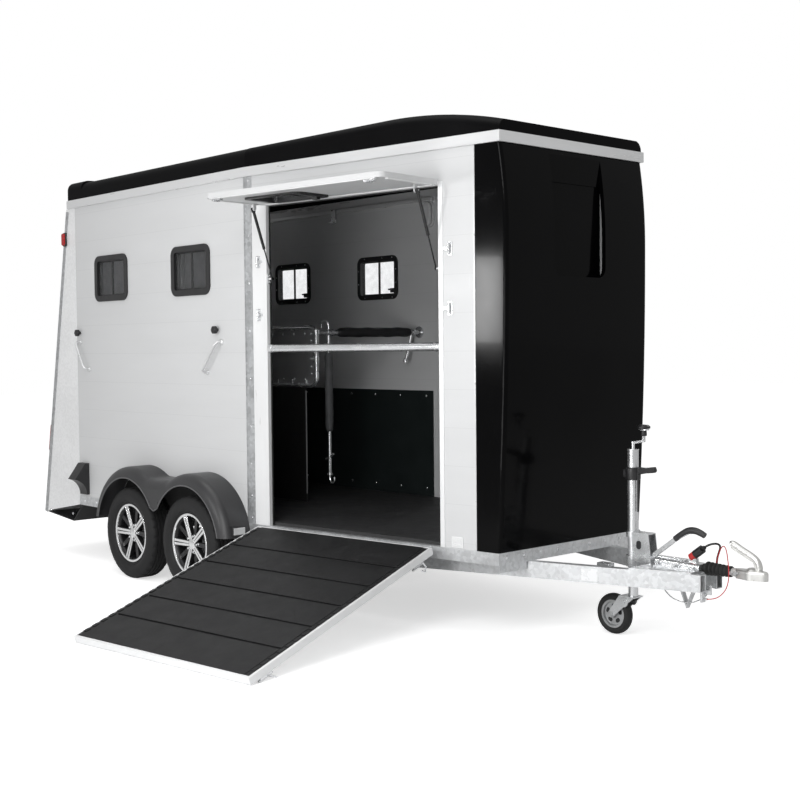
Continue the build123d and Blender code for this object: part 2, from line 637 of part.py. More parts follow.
# The slanted rear: local x to the right, y up the slope, z outwards
REAR_PLANE = Plane(origin=(REAR_LINE_FOOT[0], 0, REAR_LINE_FOOT[1]), x_dir=(0, -1, 0),
                   z_dir=(-cos(REAR_TILT), 0, sin(REAR_TILT)))
REAR_EDGE_PLANE = Plane(origin=REAR_PLANE.origin, x_dir=REAR_PLANE.y_dir, z_dir=REAR_PLANE.x_dir)
REAR_SPAN = (REAR_FRAME_TOP - REAR_LINE_FOOT[1]) / cos(REAR_TILT)
REAR_RAMP_HINGE = SILL_HEIGHT / cos(REAR_TILT) + 12
REAR_FLAP_HINGE = REAR_SPAN - HEAD_HEIGHT / cos(REAR_TILT) - 12
with BuildPart() as rear_frame:
    for side in (-1, 1):
        with BuildSketch(Plane.XZ.offset(-side * HALF_WIDTH)):
            with BuildLine():
                Polyline(
                    (rear_line_x(REAR_LINE_FOOT[1]), REAR_LINE_FOOT[1]),
                    (rear_line_x(REAR_FRAME_TOP), REAR_FRAME_TOP),
                    (rear_line_x(REAR_FRAME_TOP, POST_RUN), REAR_FRAME_TOP),
                    (rear_line_x(REAR_LINE_FOOT[1], POST_RUN), REAR_LINE_FOOT[1]),
                    close=True,
                )
            make_face()
        extrude(amount=side * POST_WIDTH)
        with BuildSketch(Plane.XZ.offset(-side * HALF_WIDTH)):
            with BuildLine():
                Polyline(
                    (rear_line_x(REAR_LINE_FOOT[1], WEDGE_SETBACK), REAR_LINE_FOOT[1]),
                    (rear_line_x(REAR_FRAME_TOP, WEDGE_SETBACK), REAR_FRAME_TOP),
                    (REAR_X - WALL_GAP, REAR_FRAME_TOP),
                    (REAR_X - WALL_GAP, RAIL_BOTTOM),
                    close=True,
                )
            make_face()
        extrude(amount=side * WEDGE_SHEET)
    for low, high in ((REAR_FRAME_TOP - HEAD_HEIGHT, REAR_FRAME_TOP), (REAR_LINE_FOOT[1], SILL_TOP)):
        with BuildSketch(Plane.XZ.offset(-HALF_WIDTH + 10)):
            with BuildLine():
                Polyline(
                    (rear_line_x(low), low),
                    (rear_line_x(high), high),
                    (rear_line_x(high, POST_RUN), high),
                    (rear_line_x(low, POST_RUN), low),
                    close=True,
                )
            make_face()
        extrude(amount=2 * HALF_WIDTH - 20)
    with BuildSketch(Plane.XZ.offset(-HALF_WIDTH + 2)):
        with BuildLine():
            Polyline(
                (rear_line_x(SILL_TOP, THRESHOLD_SETBACK), SILL_TOP),
                (REAR_X - WALL_GAP, RAIL_TOP),
                (REAR_X - WALL_GAP, RAIL_TOP - THRESHOLD),
                (rear_line_x(SILL_TOP, THRESHOLD_SETBACK), SILL_TOP - THRESHOLD),
                close=True,
            )
        make_face()
    extrude(amount=2 * HALF_WIDTH - 4)
    for hinge_u, root in ((REAR_RAMP_HINGE, -1), (REAR_FLAP_HINGE, 1)):
        for hinge_x in REAR_HINGES:
            for lug_mid in (hinge_x - LUG_MID, hinge_x + LUG_MID):
                with BuildSketch(REAR_EDGE_PLANE.offset(lug_mid - LUG_LENGTH / 2)):
                    with Locations((hinge_u, REAR_HINGE_OUT)):
                        Circle(KNUCKLE_RADIUS)
                    with Locations((hinge_u + root * 13, (REAR_HINGE_OUT + KNUCKLE_RADIUS) / 2 - 3)):
                        Rectangle(26, REAR_HINGE_OUT + KNUCKLE_RADIUS - 2)
                extrude(amount=LUG_LENGTH)
            with BuildSketch(REAR_EDGE_PLANE.offset(hinge_x - PIN_LENGTH / 2)):
                with Locations((hinge_u, REAR_HINGE_OUT)):
                    Circle(PIN_RADIUS)
            extrude(amount=PIN_LENGTH)
rear_frame.part.label = "rear_frame"
export_step(rear_frame.part, "parts/rear_frame.step")

# Apron: bent black plate under the rear overhang
APRON = 5
APRON_FRONT = (REAR_X - 130, up(272))
with BuildPart() as rear_apron:
    with BuildSketch(Plane.XZ.offset(-HALF_WIDTH + 12)):
        with BuildLine():
            foot_x = rear_line_x(REAR_LINE_FOOT[1], 4)
            foot_z = REAR_LINE_FOOT[1] - 0.3
            Polyline(
                (foot_x, foot_z),
                (foot_x + POST_RUN, foot_z),
                (APRON_FRONT[0] - 4, APRON_FRONT[1] + APRON),
                (REAR_X + 8, RAIL_BOTTOM - 0.3),
                (REAR_X + 20, RAIL_BOTTOM - 0.3),
                (APRON_FRONT[0], APRON_FRONT[1]),
                (foot_x, foot_z - APRON),
                close=True,
            )
        make_face()
    extrude(amount=2 * HALF_WIDTH - 24)
rear_apron.part.label = "rear_apron"
export_step(rear_apron.part, "parts/rear_apron.step")


def window_frame(plane, mids, mid_z, length, height, wall):
    """Clamped window frames: outer flange, neck through the panel, inner flange."""
    opening_length = length - 2 * FLANGE - 2 * LEDGE
    opening_height = height - 2 * FLANGE - 2 * LEDGE
    for start, run, inset in ((FRAME_PROUD, -FRAME_PROUD, 0), (0, -wall, FLANGE), (-wall, -FRAME_PROUD, 4)):
        with BuildSketch(plane.offset(start)) as ring:
            with Locations(*[(mid, mid_z) for mid in mids]):
                RectangleRounded(length - 2 * inset, height - 2 * inset, WINDOW_CORNER - inset)
                RectangleRounded(opening_length, opening_height, OPENING_CORNER, mode=Mode.SUBTRACT)
        extrude(ring.sketch, amount=run)


with BuildPart() as window_frames:
    window_frame(REAR_SIDE_PLANE, WINDOW_MIDS, WINDOW_MID_Z, WINDOW_LENGTH, WINDOW_HEIGHT, WALL)
    mirror(about=Plane.XZ)
window_frames.part.label = "window_frames"
export_step(window_frames.part, "parts/window_frames.step")

PANE_LENGTH = WINDOW_LENGTH - 2 * FLANGE - 2 * LEDGE
PANE_HEIGHT = WINDOW_HEIGHT - 2 * FLANGE - 2 * LEDGE
with BuildPart() as window_panes:
    with BuildSketch(REAR_SIDE_PLANE.offset(-WALL / 2)):
        with Locations(*[(mid, WINDOW_MID_Z) for mid in WINDOW_MIDS]):
            RectangleRounded(PANE_LENGTH, PANE_HEIGHT, OPENING_CORNER)
    extrude(amount=GLASS)
    mirror(about=Plane.XZ)
window_panes.part.label = "window_panes"
export_step(window_panes.part, "parts/window_panes.step")

# Mudguards: one moulded arch over both wheels of a side
ARCH_MID_X = sum(AXLES_X) / 2
SKIRT_NOTCH = (50, up(529))
SKIRT_PEAK = up(506)


def guard_body(inset):
    """Filled shape of the right-hand mudguard, moved inwards by inset."""
    with BuildPart() as body:
        with BuildSketch(Plane.XZ.offset(HALF_WIDTH)) as outline:
            with Locations(*[(x, HUB_Z) for x in AXLES_X]):
                Circle(GUARD_RADIUS - inset)
            with Locations((ARCH_MID_X, HUB_Z + (GUARD_VALLEY - inset) / 2)):
                Rectangle(AXLES_X[0] - AXLES_X[1], GUARD_VALLEY - inset)
            with Locations((ARCH_MID_X, GUARD_BOTTOM - GUARD_RADIUS)):
                Rectangle(4 * GUARD_RADIUS, 2 * GUARD_RADIUS, mode=Mode.SUBTRACT)
            valley = outline.vertices().filter_by(lambda v: abs(v.Z - HUB_Z - GUARD_VALLEY + inset) < 2
                                                  or abs(v.Y - HUB_Z - GUARD_VALLEY + inset) < 2)
            fillet(valley, GUARD_BLEND)
        extrude(amount=GUARD_OUTER_Y - HALF_WIDTH - inset)
        crest = body.faces().sort_by(Axis.Y)[0].edges().filter_by(
            lambda e: e.center().Z > GUARD_BOTTOM + 60)
        fillet(crest, GUARD_SHOULDER - inset)
    return body.part


guard_outer = guard_body(0)
guard_inner = guard_body(GUARD_SKIN)
with BuildPart() as mudguards:
    add(guard_outer)
    add(guard_inner, mode=Mode.SUBTRACT)
    with BuildSketch(Plane.XZ.offset(HALF_WIDTH + TYRE_WIDTH / 2)):
        with Locations(*[(x, HUB_Z) for x in AXLES_X]):
            Circle(GUARD_OPENING)
        with BuildLine():
            Polyline(
                (ARCH_MID_X, SKIRT_PEAK),
                (ARCH_MID_X + SKIRT_NOTCH[0], SKIRT_NOTCH[1]),
                (ARCH_MID_X + SKIRT_NOTCH[0], GUARD_BOTTOM - 5),
                (ARCH_MID_X - SKIRT_NOTCH[0], GUARD_BOTTOM - 5),
                (ARCH_MID_X - SKIRT_NOTCH[0], SKIRT_NOTCH[1]),
                close=True,
            )
        make_face()
    extrude(amount=TYRE_WIDTH, mode=Mode.SUBTRACT)
    with BuildSketch(Plane.XZ.offset(HALF_WIDTH - 1)):
        with Locations((ARCH_MID_X, RAIL_TOP - RAIL_HEIGHT / 2)):
            Rectangle(4 * GUARD_RADIUS, RAIL_HEIGHT + 2)
        with Locations((KINK_X, RAIL_TOP)):
            Rectangle(2 * STRIP_BACK + 2, 4 * RAIL_HEIGHT)
    extrude(amount=RAIL_PROUD + 1.3, mode=Mode.SUBTRACT)
    mirror(about=Plane.XZ)
mudguards.part.label = "mudguards"
export_step(mudguards.part, "parts/mudguards.step")

# Wheels: hub_z runs outwards along the axle, hub_y up
BEAD_HALF = 61.5
FLANGE_HALF = 70
BARREL_INNER = 176
SPOKE_BACK = 26
SPOKE_FRONT = 48
HUB_DISC = 62
DRUM_RADIUS = 100
DRUM_BACK = 67
DRUM_FRONT = 24
SPOKE_TURN = 105
SPOKE_SPREAD = 8.5
SPOKE_LENGTH = 126
BORE_END = 22.5
for axle_name, axle_x in (("front", AXLES_X[0]), ("rear", AXLES_X[1])):
    for side_name, side in (("right", -1), ("left", 1)):
        hub = (axle_x, side * WHEEL_Y, HUB_Z)
        hub_plane = Plane(origin=hub, x_dir=(-side, 0, 0), z_dir=(0, side, 0))
        section_plane = Plane(origin=hub, x_dir=(0, 0, 1), z_dir=(-side, 0, 0))
        with BuildPart() as tyre:
            with BuildSketch(section_plane):
                with BuildLine():
                    Polyline((TYRE_RADIUS, 0), (TYRE_RADIUS, 54))
                    ThreePointArc((TYRE_RADIUS, 54), (TYRE_RADIUS - 5, 71), (TYRE_RADIUS - 20, 82))
                    ThreePointArc((TYRE_RADIUS - 20, 82), (252, TYRE_WIDTH / 2), (213, 75))
                    Polyline(
                        (213, 75),
                        (RIM_RADIUS + 1.5, BEAD_HALF),
                        (SEAT_RADIUS, BEAD_HALF),
                        (SEAT_RADIUS, 0),
                    )
                    mirror(about=Plane.XZ)
                make_face()
            revolve(axis=Axis(hub, (0, 1, 0)))
        tyre.part.label = f"tyre_{axle_name}_{side_name}"
        export_step(tyre.part, f"parts/tyre_{axle_name}_{side_name}.step")
        with BuildPart() as rim:
            with BuildSketch(section_plane):
                with BuildLine():
                    Polyline(
                        (BARREL_INNER, 0),
                        (BARREL_INNER, FLANGE_HALF - 12),
                        (BARREL_INNER + 8, FLANGE_HALF),
                        (RIM_RADIUS, FLANGE_HALF),
                        (RIM_RADIUS, BEAD_HALF + 0.5),
                        (SEAT_RADIUS - 0.3, BEAD_HALF + 0.5),
                        (SEAT_RADIUS - 0.3, 0),
                    )
                    mirror(about=Plane.XZ)
                make_face()
            revolve(axis=Axis(hub, (0, 1, 0)))
            with BuildSketch(hub_plane.offset(SPOKE_BACK)):
                Circle(HUB_DISC)
                for spread, width in ((-SPOKE_SPREAD, 24), (SPOKE_SPREAD, 24), (36, 20)):
                    with PolarLocations((BARREL_INNER + HUB_DISC) / 2, 5, start_angle=SPOKE_TURN + spread):
                        Rectangle(SPOKE_LENGTH, width)
            extrude(amount=SPOKE_FRONT - SPOKE_BACK)
            with BuildSketch(hub_plane.offset(-DRUM_BACK)):
                Circle(DRUM_RADIUS)
            extrude(amount=DRUM_BACK - DRUM_FRONT)
            with BuildSketch(hub_plane.offset(-DRUM_FRONT)):
                Circle(HUB_DISC - 8)
            extrude(amount=DRUM_FRONT + SPOKE_BACK)
            with BuildSketch(hub_plane.offset(-DRUM_BACK)):
                Circle(STUB_RADIUS + RUNNING_GAP)
            extrude(amount=DRUM_BACK + BORE_END, mode=Mode.SUBTRACT)
        rim.part.label = f"rim_{axle_name}_{side_name}"
        export_step(rim.part, f"parts/rim_{axle_name}_{side_name}.step")

# Side ramp, down on the ground: local x runs down the slope, y along the wall, z up out of the face
RAMP_UNDER = RAMP_PANEL + RAMP_MAT - RAMP_FACE
RAMP_DROP = RAMP_HINGE_Z - up(RAMP_FOOT_GAP)
RAMP_SLOPE = asin(RAMP_DROP / hypot(RAMP_LENGTH, RAMP_UNDER)) - atan2(RAMP_UNDER, RAMP_LENGTH)
RAMP_DOWN = OUT * cos(RAMP_SLOPE) + Vector(0, 0, -sin(RAMP_SLOPE))
RAMP_NORMAL = OUT * sin(RAMP_SLOPE) + Vector(0, 0, cos(RAMP_SLOPE))
RAMP_AXIS_MID = on_taper(RAMP_MID, RAMP_HINGE_OUT, RAMP_HINGE_Z)
RAMP_PLANE = Plane(origin=RAMP_AXIS_MID, x_dir=RAMP_DOWN, z_dir=RAMP_NORMAL)
RAMP_EDGE = 42
MAT_SPACE = (RAMP_LENGTH - RAMP_START - 2 * RAMP_EDGE, RAMP_WIDTH - 2 * RAMP_EDGE)
RAMP_BACK = RAMP_FACE - RAMP_MAT - RAMP_PANEL
with BuildPart() as side_ramp:
    with BuildSketch(RAMP_PLANE.offset(RAMP_BACK)):
        with Locations(((RAMP_START + RAMP_LENGTH) / 2, 0)):
            Rectangle(RAMP_LENGTH - RAMP_START, RAMP_WIDTH)
    extrude(amount=RAMP_PANEL)
    with BuildSketch(RAMP_PLANE.offset(RAMP_BACK + RAMP_PANEL)):
        with Locations(((RAMP_START + RAMP_LENGTH) / 2, 0)):
            Rectangle(RAMP_LENGTH - RAMP_START, RAMP_WIDTH)
            Rectangle(*MAT_SPACE, mode=Mode.SUBTRACT)
    extrude(amount=RAMP_MAT - 2)
    hinge_side = Plane(origin=RAMP_PLANE.origin, x_dir=RAMP_DOWN, z_dir=RAMP_PLANE.y_dir * -1)
    for hinge_y in RAMP_HINGES:
        with BuildSketch(hinge_side.offset(-hinge_y - KNUCKLE_LENGTH / 2)):
            Circle(KNUCKLE_RADIUS)
            with Locations((RAMP_START / 2 + 4, RAMP_BACK + 7)):
                Rectangle(RAMP_START + 2, 6)
            Circle(PIN_RADIUS + PIN_GAP, mode=Mode.SUBTRACT)
        extrude(amount=KNUCKLE_LENGTH)
side_ramp.part.label = "side_ramp"
export_step(side_ramp.part, "parts/side_ramp.step")

with BuildPart() as ramp_mat:
    with BuildSketch(RAMP_PLANE.offset(RAMP_BACK + RAMP_PANEL)):
        with Locations(((RAMP_START + RAMP_LENGTH) / 2, 0)):
            Rectangle(RAMP_LENGTH - RAMP_START - 2 * RAMP_EDGE - 1, RAMP_WIDTH - 2 * RAMP_EDGE - 1)
    extrude(amount=RAMP_MAT)
ramp_mat.part.label = "ramp_mat"
export_step(ramp_mat.part, "parts/ramp_mat.step")

# Side hatch, held up level: local x along the wall, y towards it, z up
HATCH_TOP = HATCH_HINGE_Z + HATCH_PANEL - HATCH_FACE
HATCH_PLANE = Plane(origin=on_taper(HATCH_MID, 0, HATCH_TOP), x_dir=ALONG, z_dir=(0, 0, 1))
HATCH_NEAR = HATCH_HINGE_OUT + HATCH_START
HATCH_FAR = HATCH_HINGE_OUT + HATCH_LENGTH
HATCH_CORNER = 45
HATCH_WINDOW_MID = (-270, -248)
HATCH_WINDOW_SIZE = (479, 295)
HATCH_PIN_RADIUS = 4
LUG_THICKNESS = 8
with BuildPart() as side_hatch:
    with BuildSketch(HATCH_PLANE):
        with Locations((0, -(HATCH_NEAR + HATCH_FAR) / 2)):
            Rectangle(HATCH_WIDTH, HATCH_FAR - HATCH_NEAR)
        with Locations(HATCH_WINDOW_MID):
            RectangleRounded(HATCH_WINDOW_SIZE[0] - 2 * FLANGE + 2, HATCH_WINDOW_SIZE[1] - 2 * FLANGE + 2,
                             WINDOW_CORNER - FLANGE, mode=Mode.SUBTRACT)
    extrude(amount=-HATCH_PANEL)
    free_corners = side_hatch.edges().filter_by(Axis.Z).filter_by(
        lambda e: (e.center() - TAPER_ORIGIN).dot(OUT) > HATCH_FAR - 2)
    fillet(free_corners, HATCH_CORNER)
    for hinge_x in HATCH_HINGES:
        with BuildSketch(WALL_SIDE.offset(-HATCH_MID - hinge_x - KNUCKLE_LENGTH / 2)):
            with Locations((HATCH_HINGE_OUT, HATCH_HINGE_Z)):
                Circle(KNUCKLE_RADIUS)
            with Locations((HATCH_HINGE_OUT + HATCH_START / 2 + 2, HATCH_HINGE_Z + 3)):
                Rectangle(HATCH_START + 6, 6)
            with Locations((HATCH_HINGE_OUT, HATCH_HINGE_Z)):
                Circle(PIN_RADIUS + PIN_GAP, mode=Mode.SUBTRACT)
        extrude(amount=KNUCKLE_LENGTH)
    for strut_along, inwards in ((STRUT_ALONG[0], 1), (STRUT_ALONG[1], -1)):
        lug_near = strut_along + inwards * (BARREL_RADIUS + 1)
        with BuildSketch(WALL_SIDE.offset(-lug_near)):
            with Locations(STRUT_HATCH_PIN):
                Circle(12)
            with Locations((STRUT_HATCH_PIN[0], (STRUT_HATCH_PIN[1] + HATCH_TOP - HATCH_PANEL) / 2)):
                Rectangle(24, HATCH_TOP - HATCH_PANEL - STRUT_HATCH_PIN[1])
        extrude(amount=-inwards * LUG_THICKNESS)
        with BuildSketch(WALL_SIDE.offset(-lug_near)):
            with Locations(STRUT_HATCH_PIN):
                Circle(HATCH_PIN_RADIUS)
        extrude(amount=inwards * (2 * BARREL_RADIUS + 1))
side_hatch.part.label = "side_hatch"
export_step(side_hatch.part, "parts/side_hatch.step")

with BuildPart() as hatch_window_frame:
    window_frame(HATCH_PLANE, (HATCH_WINDOW_MID[0],), HATCH_WINDOW_MID[1], *HATCH_WINDOW_SIZE, HATCH_PANEL)
hatch_window_frame.part.label = "hatch_window_frame"
export_step(hatch_window_frame.part, "parts/hatch_window_frame.step")

with BuildPart() as hatch_pane:
    with BuildSketch(HATCH_PLANE.offset(-HATCH_PANEL / 2)):
        with Locations(HATCH_WINDOW_MID):
            RectangleRounded(HATCH_WINDOW_SIZE[0] - 2 * FLANGE - 2 * LEDGE,
                             HATCH_WINDOW_SIZE[1] - 2 * FLANGE - 2 * LEDGE, OPENING_CORNER)
    extrude(amount=GLASS)
hatch_pane.part.label = "hatch_pane"
export_step(hatch_pane.part, "parts/hatch_pane.step")

# Gas struts: the barrel hangs on the hatch, the rod's eye sits beside a stud on the jamb
STRUT_RUN = Vector(STRUT_JAMB_PIN[0] - STRUT_HATCH_PIN[0], 0, STRUT_JAMB_PIN[1] - STRUT_HATCH_PIN[1])
STRUT_LENGTH = STRUT_RUN.length
STRUT_DIR = OUT * (STRUT_RUN.X / STRUT_LENGTH) + Vector(0, 0, STRUT_RUN.Z / STRUT_LENGTH)
BARREL_END = 255
ROD_END = 238
ROD_BORE = ROD_RADIUS + 0.06
for strut_name, strut_along in (("rear", STRUT_ALONG[0]), ("front", STRUT_ALONG[1])):
    top = on_taper(strut_along, STRUT_HATCH_PIN[0], STRUT_HATCH_PIN[1])
    strut_plane = Plane(origin=top, x_dir=ALONG, z_dir=STRUT_DIR)
    eye_plane = Plane(origin=top, x_dir=STRUT_DIR, z_dir=ALONG)
    with BuildPart() as strut_barrel:
        with BuildSketch(strut_plane.offset(BARREL_RADIUS)):
            Circle(BARREL_RADIUS)
        extrude(amount=BARREL_END - BARREL_RADIUS)
        with BuildSketch(eye_plane.offset(-BARREL_RADIUS)):
            Circle(BARREL_RADIUS + 1)
            with Locations((BARREL_RADIUS + 2, 0)):
                Rectangle(2 * BARREL_RADIUS, 2 * BARREL_RADIUS - 2)
        extrude(amount=2 * BARREL_RADIUS)
        with BuildSketch(eye_plane.offset(-BARREL_RADIUS - 1)):
            Circle(HATCH_PIN_RADIUS + PIN_GAP)
        extrude(amount=2 * BARREL_RADIUS + 2, mode=Mode.SUBTRACT)
        with BuildSketch(strut_plane.offset(BARREL_END)):
            Circle(ROD_BORE)
        extrude(amount=3 * BARREL_RADIUS - BARREL_END, mode=Mode.SUBTRACT)
    strut_barrel.part.label = f"strut_barrel_{strut_name}"
    export_step(strut_barrel.part, f"parts/strut_barrel_{strut_name}.step")
    with BuildPart() as strut_rod:
        with BuildSketch(strut_plane.offset(ROD_END)):
            Circle(ROD_RADIUS)
        extrude(amount=STRUT_LENGTH - ROD_END)
        with BuildSketch(eye_plane.offset(-EYE_LENGTH / 2)):
            with Locations((STRUT_LENGTH, 0)):
                Circle(2 * ROD_RADIUS)
        extrude(amount=EYE_LENGTH)
    strut_rod.part.label = f"strut_rod_{strut_name}"
    export_step(strut_rod.part, f"parts/strut_rod_{strut_name}.step")

# Rear doors in the slanted plane: local x to the right, y up the slope, z outwards
REAR_WIDTH = 2 * (HALF_WIDTH - POST_WIDTH - REAR_GAP)
REAR_SPLIT = (up(1720) - REAR_LINE_FOOT[1]) / cos(REAR_TILT)
PANEL_SETBACK = 18
with BuildPart() as rear_ramp:
    with BuildSketch(REAR_PLANE):
        with Locations((0, (REAR_RAMP_HINGE + PANEL_SETBACK + REAR_SPLIT) / 2)):
            Rectangle(REAR_WIDTH, REAR_SPLIT - REAR_RAMP_HINGE - PANEL_SETBACK)
    extrude(amount=-REAR_PANEL)
    for hinge_x in REAR_HINGES:
        with BuildSketch(REAR_EDGE_PLANE.offset(hinge_x - KNUCKLE_LENGTH / 2)):
            with Locations((REAR_RAMP_HINGE, REAR_HINGE_OUT)):
                Circle(KNUCKLE_RADIUS)
            with Locations((REAR_RAMP_HINGE + 3 * PANEL_SETBACK / 4, REAR_HINGE_OUT - 9)):
                Rectangle(3 * PANEL_SETBACK / 2, 6)
            with Locations((REAR_RAMP_HINGE, REAR_HINGE_OUT)):
                Circle(PIN_RADIUS + PIN_GAP, mode=Mode.SUBTRACT)
        extrude(amount=KNUCKLE_LENGTH)
rear_ramp.part.label = "rear_ramp"
export_step(rear_ramp.part, "parts/rear_ramp.step")

with BuildPart() as rear_flap:
    with BuildSketch(REAR_PLANE):
        with Locations((0, (REAR_FLAP_HINGE - PANEL_SETBACK + REAR_SPLIT + REAR_GAP + 2) / 2)):
            Rectangle(REAR_WIDTH, REAR_FLAP_HINGE - PANEL_SETBACK - REAR_SPLIT - REAR_GAP - 2)
    extrude(amount=-REAR_PANEL)
    for hinge_x in REAR_HINGES:
        with BuildSketch(REAR_EDGE_PLANE.offset(hinge_x - KNUCKLE_LENGTH / 2)):
            with Locations((REAR_FLAP_HINGE, REAR_HINGE_OUT)):
                Circle(KNUCKLE_RADIUS)
            with Locations((REAR_FLAP_HINGE - 3 * PANEL_SETBACK / 4, REAR_HINGE_OUT - 9)):
                Rectangle(3 * PANEL_SETBACK / 2, 6)
            with Locations((REAR_FLAP_HINGE, REAR_HINGE_OUT)):
                Circle(PIN_RADIUS + PIN_GAP, mode=Mode.SUBTRACT)
        extrude(amount=KNUCKLE_LENGTH)
rear_flap.part.label = "rear_flap"
export_step(rear_flap.part, "parts/rear_flap.step")

# Lamps: red clusters and markers at the rear, clear markers on the mudguards
LAMP_UP = (up(900) - REAR_LINE_FOOT[1]) / cos(REAR_TILT)
LAMP_X = HALF_WIDTH - POST_WIDTH / 2
MARKER_Z = up(2440)
with BuildPart() as tail_lamps:
    with BuildSketch(REAR_PLANE):
        with Locations((LAMP_X, LAMP_UP), (-LAMP_X, LAMP_UP)):
            RectangleRounded(POST_WIDTH - 12, 210, 12)
    extrude(amount=24)
    with BuildSketch(Plane.XZ.offset(HALF_WIDTH)):
        with Locations((rear_line_x(MARKER_Z, POST_RUN / 2), MARKER_Z)):
            Circle(14)
    extrude(amount=12)
    with BuildSketch(Plane.XZ.offset(-HALF_WIDTH)):
        with Locations((rear_line_x(MARKER_Z, POST_RUN / 2), MARKER_Z)):
            Circle(14)
    extrude(amount=-12)
tail_lamps.part.label = "tail_lamps"
export_step(tail_lamps.part, "parts/tail_lamps.step")

MARKER_SIZE = (34, 84, 46)
MARKER_PLACE = (KINK_X + 17, -HALF_WIDTH - 102, up(442))
with BuildPart() as marker_lamps:
    with Locations(MARKER_PLACE):
        Box(*MARKER_SIZE)
    fillet(marker_lamps.edges().filter_by(Axis.Y).sort_by(Axis.X)[-2:], 6)
    add(guard_outer, mode=Mode.SUBTRACT)
    mirror(about=Plane.XZ)
marker_lamps.part.label = "marker_lamps"
export_step(marker_lamps.part, "parts/marker_lamps.step")

# Stowed wheel chocks on both side walls
CHOCK_X = (-5260, -5150)
CHOCK_TOP = up(738)
CHOCK_FOOT = up(500)
CHOCK_DEPTH = 120
with BuildPart() as wheel_chocks:
    with BuildSketch(Plane.YZ.offset(CHOCK_X[0])):
        with BuildLine():
            wall_y = -HALF_WIDTH
            tip = (wall_y - CHOCK_DEPTH, CHOCK_TOP - 118)
            Polyline((wall_y, CHOCK_FOOT), (wall_y, CHOCK_TOP), (wall_y - 34, CHOCK_TOP), tip)
            ThreePointArc(tip, (wall_y - 52, CHOCK_TOP - 158), (wall_y - 22, CHOCK_FOOT))
            Line((wall_y - 22, CHOCK_FOOT), (wall_y, CHOCK_FOOT))
        make_face()
    extrude(amount=CHOCK_X[1] - CHOCK_X[0])
    mirror(about=Plane.XZ)
wheel_chocks.part.label = "wheel_chocks"
export_step(wheel_chocks.part, "parts/wheel_chocks.step")

# Grab handles and tie knobs on the rear side walls
HANDLE_STANDOFF = 48
HANDLE_RADIUS = 9
HANDLE_ENDS = (((-3377, up(1635)), (-3543, up(1439))), ((-5247, up(1654)), (-5117, up(1450))))
KNOB_PLACES = ((-3420, up(1714)), (-5250, up(1722)))
with BuildPart() as grab_handles:
    for upper, lower in HANDLE_ENDS:
        foot_y = -HALF_WIDTH
        grip_y = -HALF_WIDTH - HANDLE_STANDOFF
        with BuildLine() as grip_path:
            FilletPolyline(
                (upper[0], foot_y, upper[1]),
                (upper[0], grip_y, upper[1]),
                (lower[0], grip_y, lower[1]),
                (lower[0], foot_y, lower[1]),
                radius=34,
            )
        with BuildSketch(Plane(origin=(upper[0], foot_y, upper[1]), z_dir=(0, -1, 0))) as grip_section:
            Circle(HANDLE_RADIUS)
        sweep(grip_section.sketch, path=grip_path.wires()[0])
    mirror(about=Plane.XZ)
grab_handles.part.label = "grab_handles"
export_step(grab_handles.part, "parts/grab_handles.step")

with BuildPart() as tie_knobs:
    with BuildSketch(Plane.XZ.offset(HALF_WIDTH)):
        with Locations(*KNOB_PLACES):
            Circle(11)
    extrude(amount=14)
    with BuildSketch(Plane.XZ.offset(HALF_WIDTH + 14)):
        with Locations(*KNOB_PLACES):
            Circle(20)
    extrude(amount=12)
    mirror(about=Plane.XZ)
tie_knobs.part.label = "tie_knobs"
export_step(tie_knobs.part, "parts/tie_knobs.step")

# Interior: kick panels on the walls of the straight section
KICK_THICKNESS = 6
DECK_TOP = RAIL_TOP + DECK
KICK_TOP = up(1273)
KICK_FRONT_X = -3130
INNER_Y = HALF_WIDTH - WALL
with BuildPart() as kick_panels:
    with BuildSketch(Plane.XZ.offset(INNER_Y)):
        with Locations(((REAR_X + KICK_FRONT_X) / 2, (DECK_TOP + KICK_TOP) / 2)):
            Rectangle(KICK_FRONT_X - REAR_X, KICK_TOP - DECK_TOP)
    extrude(amount=-KICK_THICKNESS)
    mirror(about=Plane.XZ)
kick_panels.part.label = "kick_panels"
export_step(kick_panels.part, "parts/kick_panels.step")

# Partition along the middle: tube loop with a panel, on a post at the rear
PARTITION_TUBE = 17
PARTITION_TOP = up(1751) - PARTITION_TUBE
PARTITION_LOW = up(1311) + PARTITION_TUBE
PARTITION_FRONT = KINK_X - 345 - PARTITION_TUBE
PARTITION_REAR = -5150
PARTITION_CORNER = 60
PARTITION_POST = 24
PARTITION_PANEL = 12
ROOF_UNDER = ROOF_EDGE_TOP + ROOF_CROWN - ROOF_SKIN
with BuildPart() as partition_frame:
    with BuildLine() as loop_path:
        FilletPolyline(
            (PARTITION_REAR, 0, PARTITION_TOP),
            (PARTITION_FRONT, 0, PARTITION_TOP),
            (PARTITION_FRONT, 0, PARTITION_LOW),
            (PARTITION_REAR, 0, PARTITION_LOW),
            radius=PARTITION_CORNER,
        )
    with BuildSketch(Plane(origin=(PARTITION_REAR, 0, PARTITION_TOP), z_dir=(1, 0, 0))) as loop_section:
        Circle(PARTITION_TUBE)
    sweep(loop_section.sketch, path=loop_path.wires()[0])
    with BuildSketch(Plane.XZ.offset(-PARTITION_PANEL / 2)):
        with Locations(((PARTITION_REAR + PARTITION_FRONT) / 2, (PARTITION_TOP + PARTITION_LOW) / 2)):
            RectangleRounded(
                PARTITION_FRONT - PARTITION_REAR,
                PARTITION_TOP - PARTITION_LOW,
                PARTITION_CORNER,
            )
    extrude(amount=PARTITION_PANEL)
    with BuildSketch(Plane.XY.offset(DECK_TOP)):
        with Locations((PARTITION_REAR, 0)):
            Circle(PARTITION_POST)
    extrude(amount=ROOF_UNDER - DECK_TOP - 1)
partition_frame.part.label = "partition_frame"
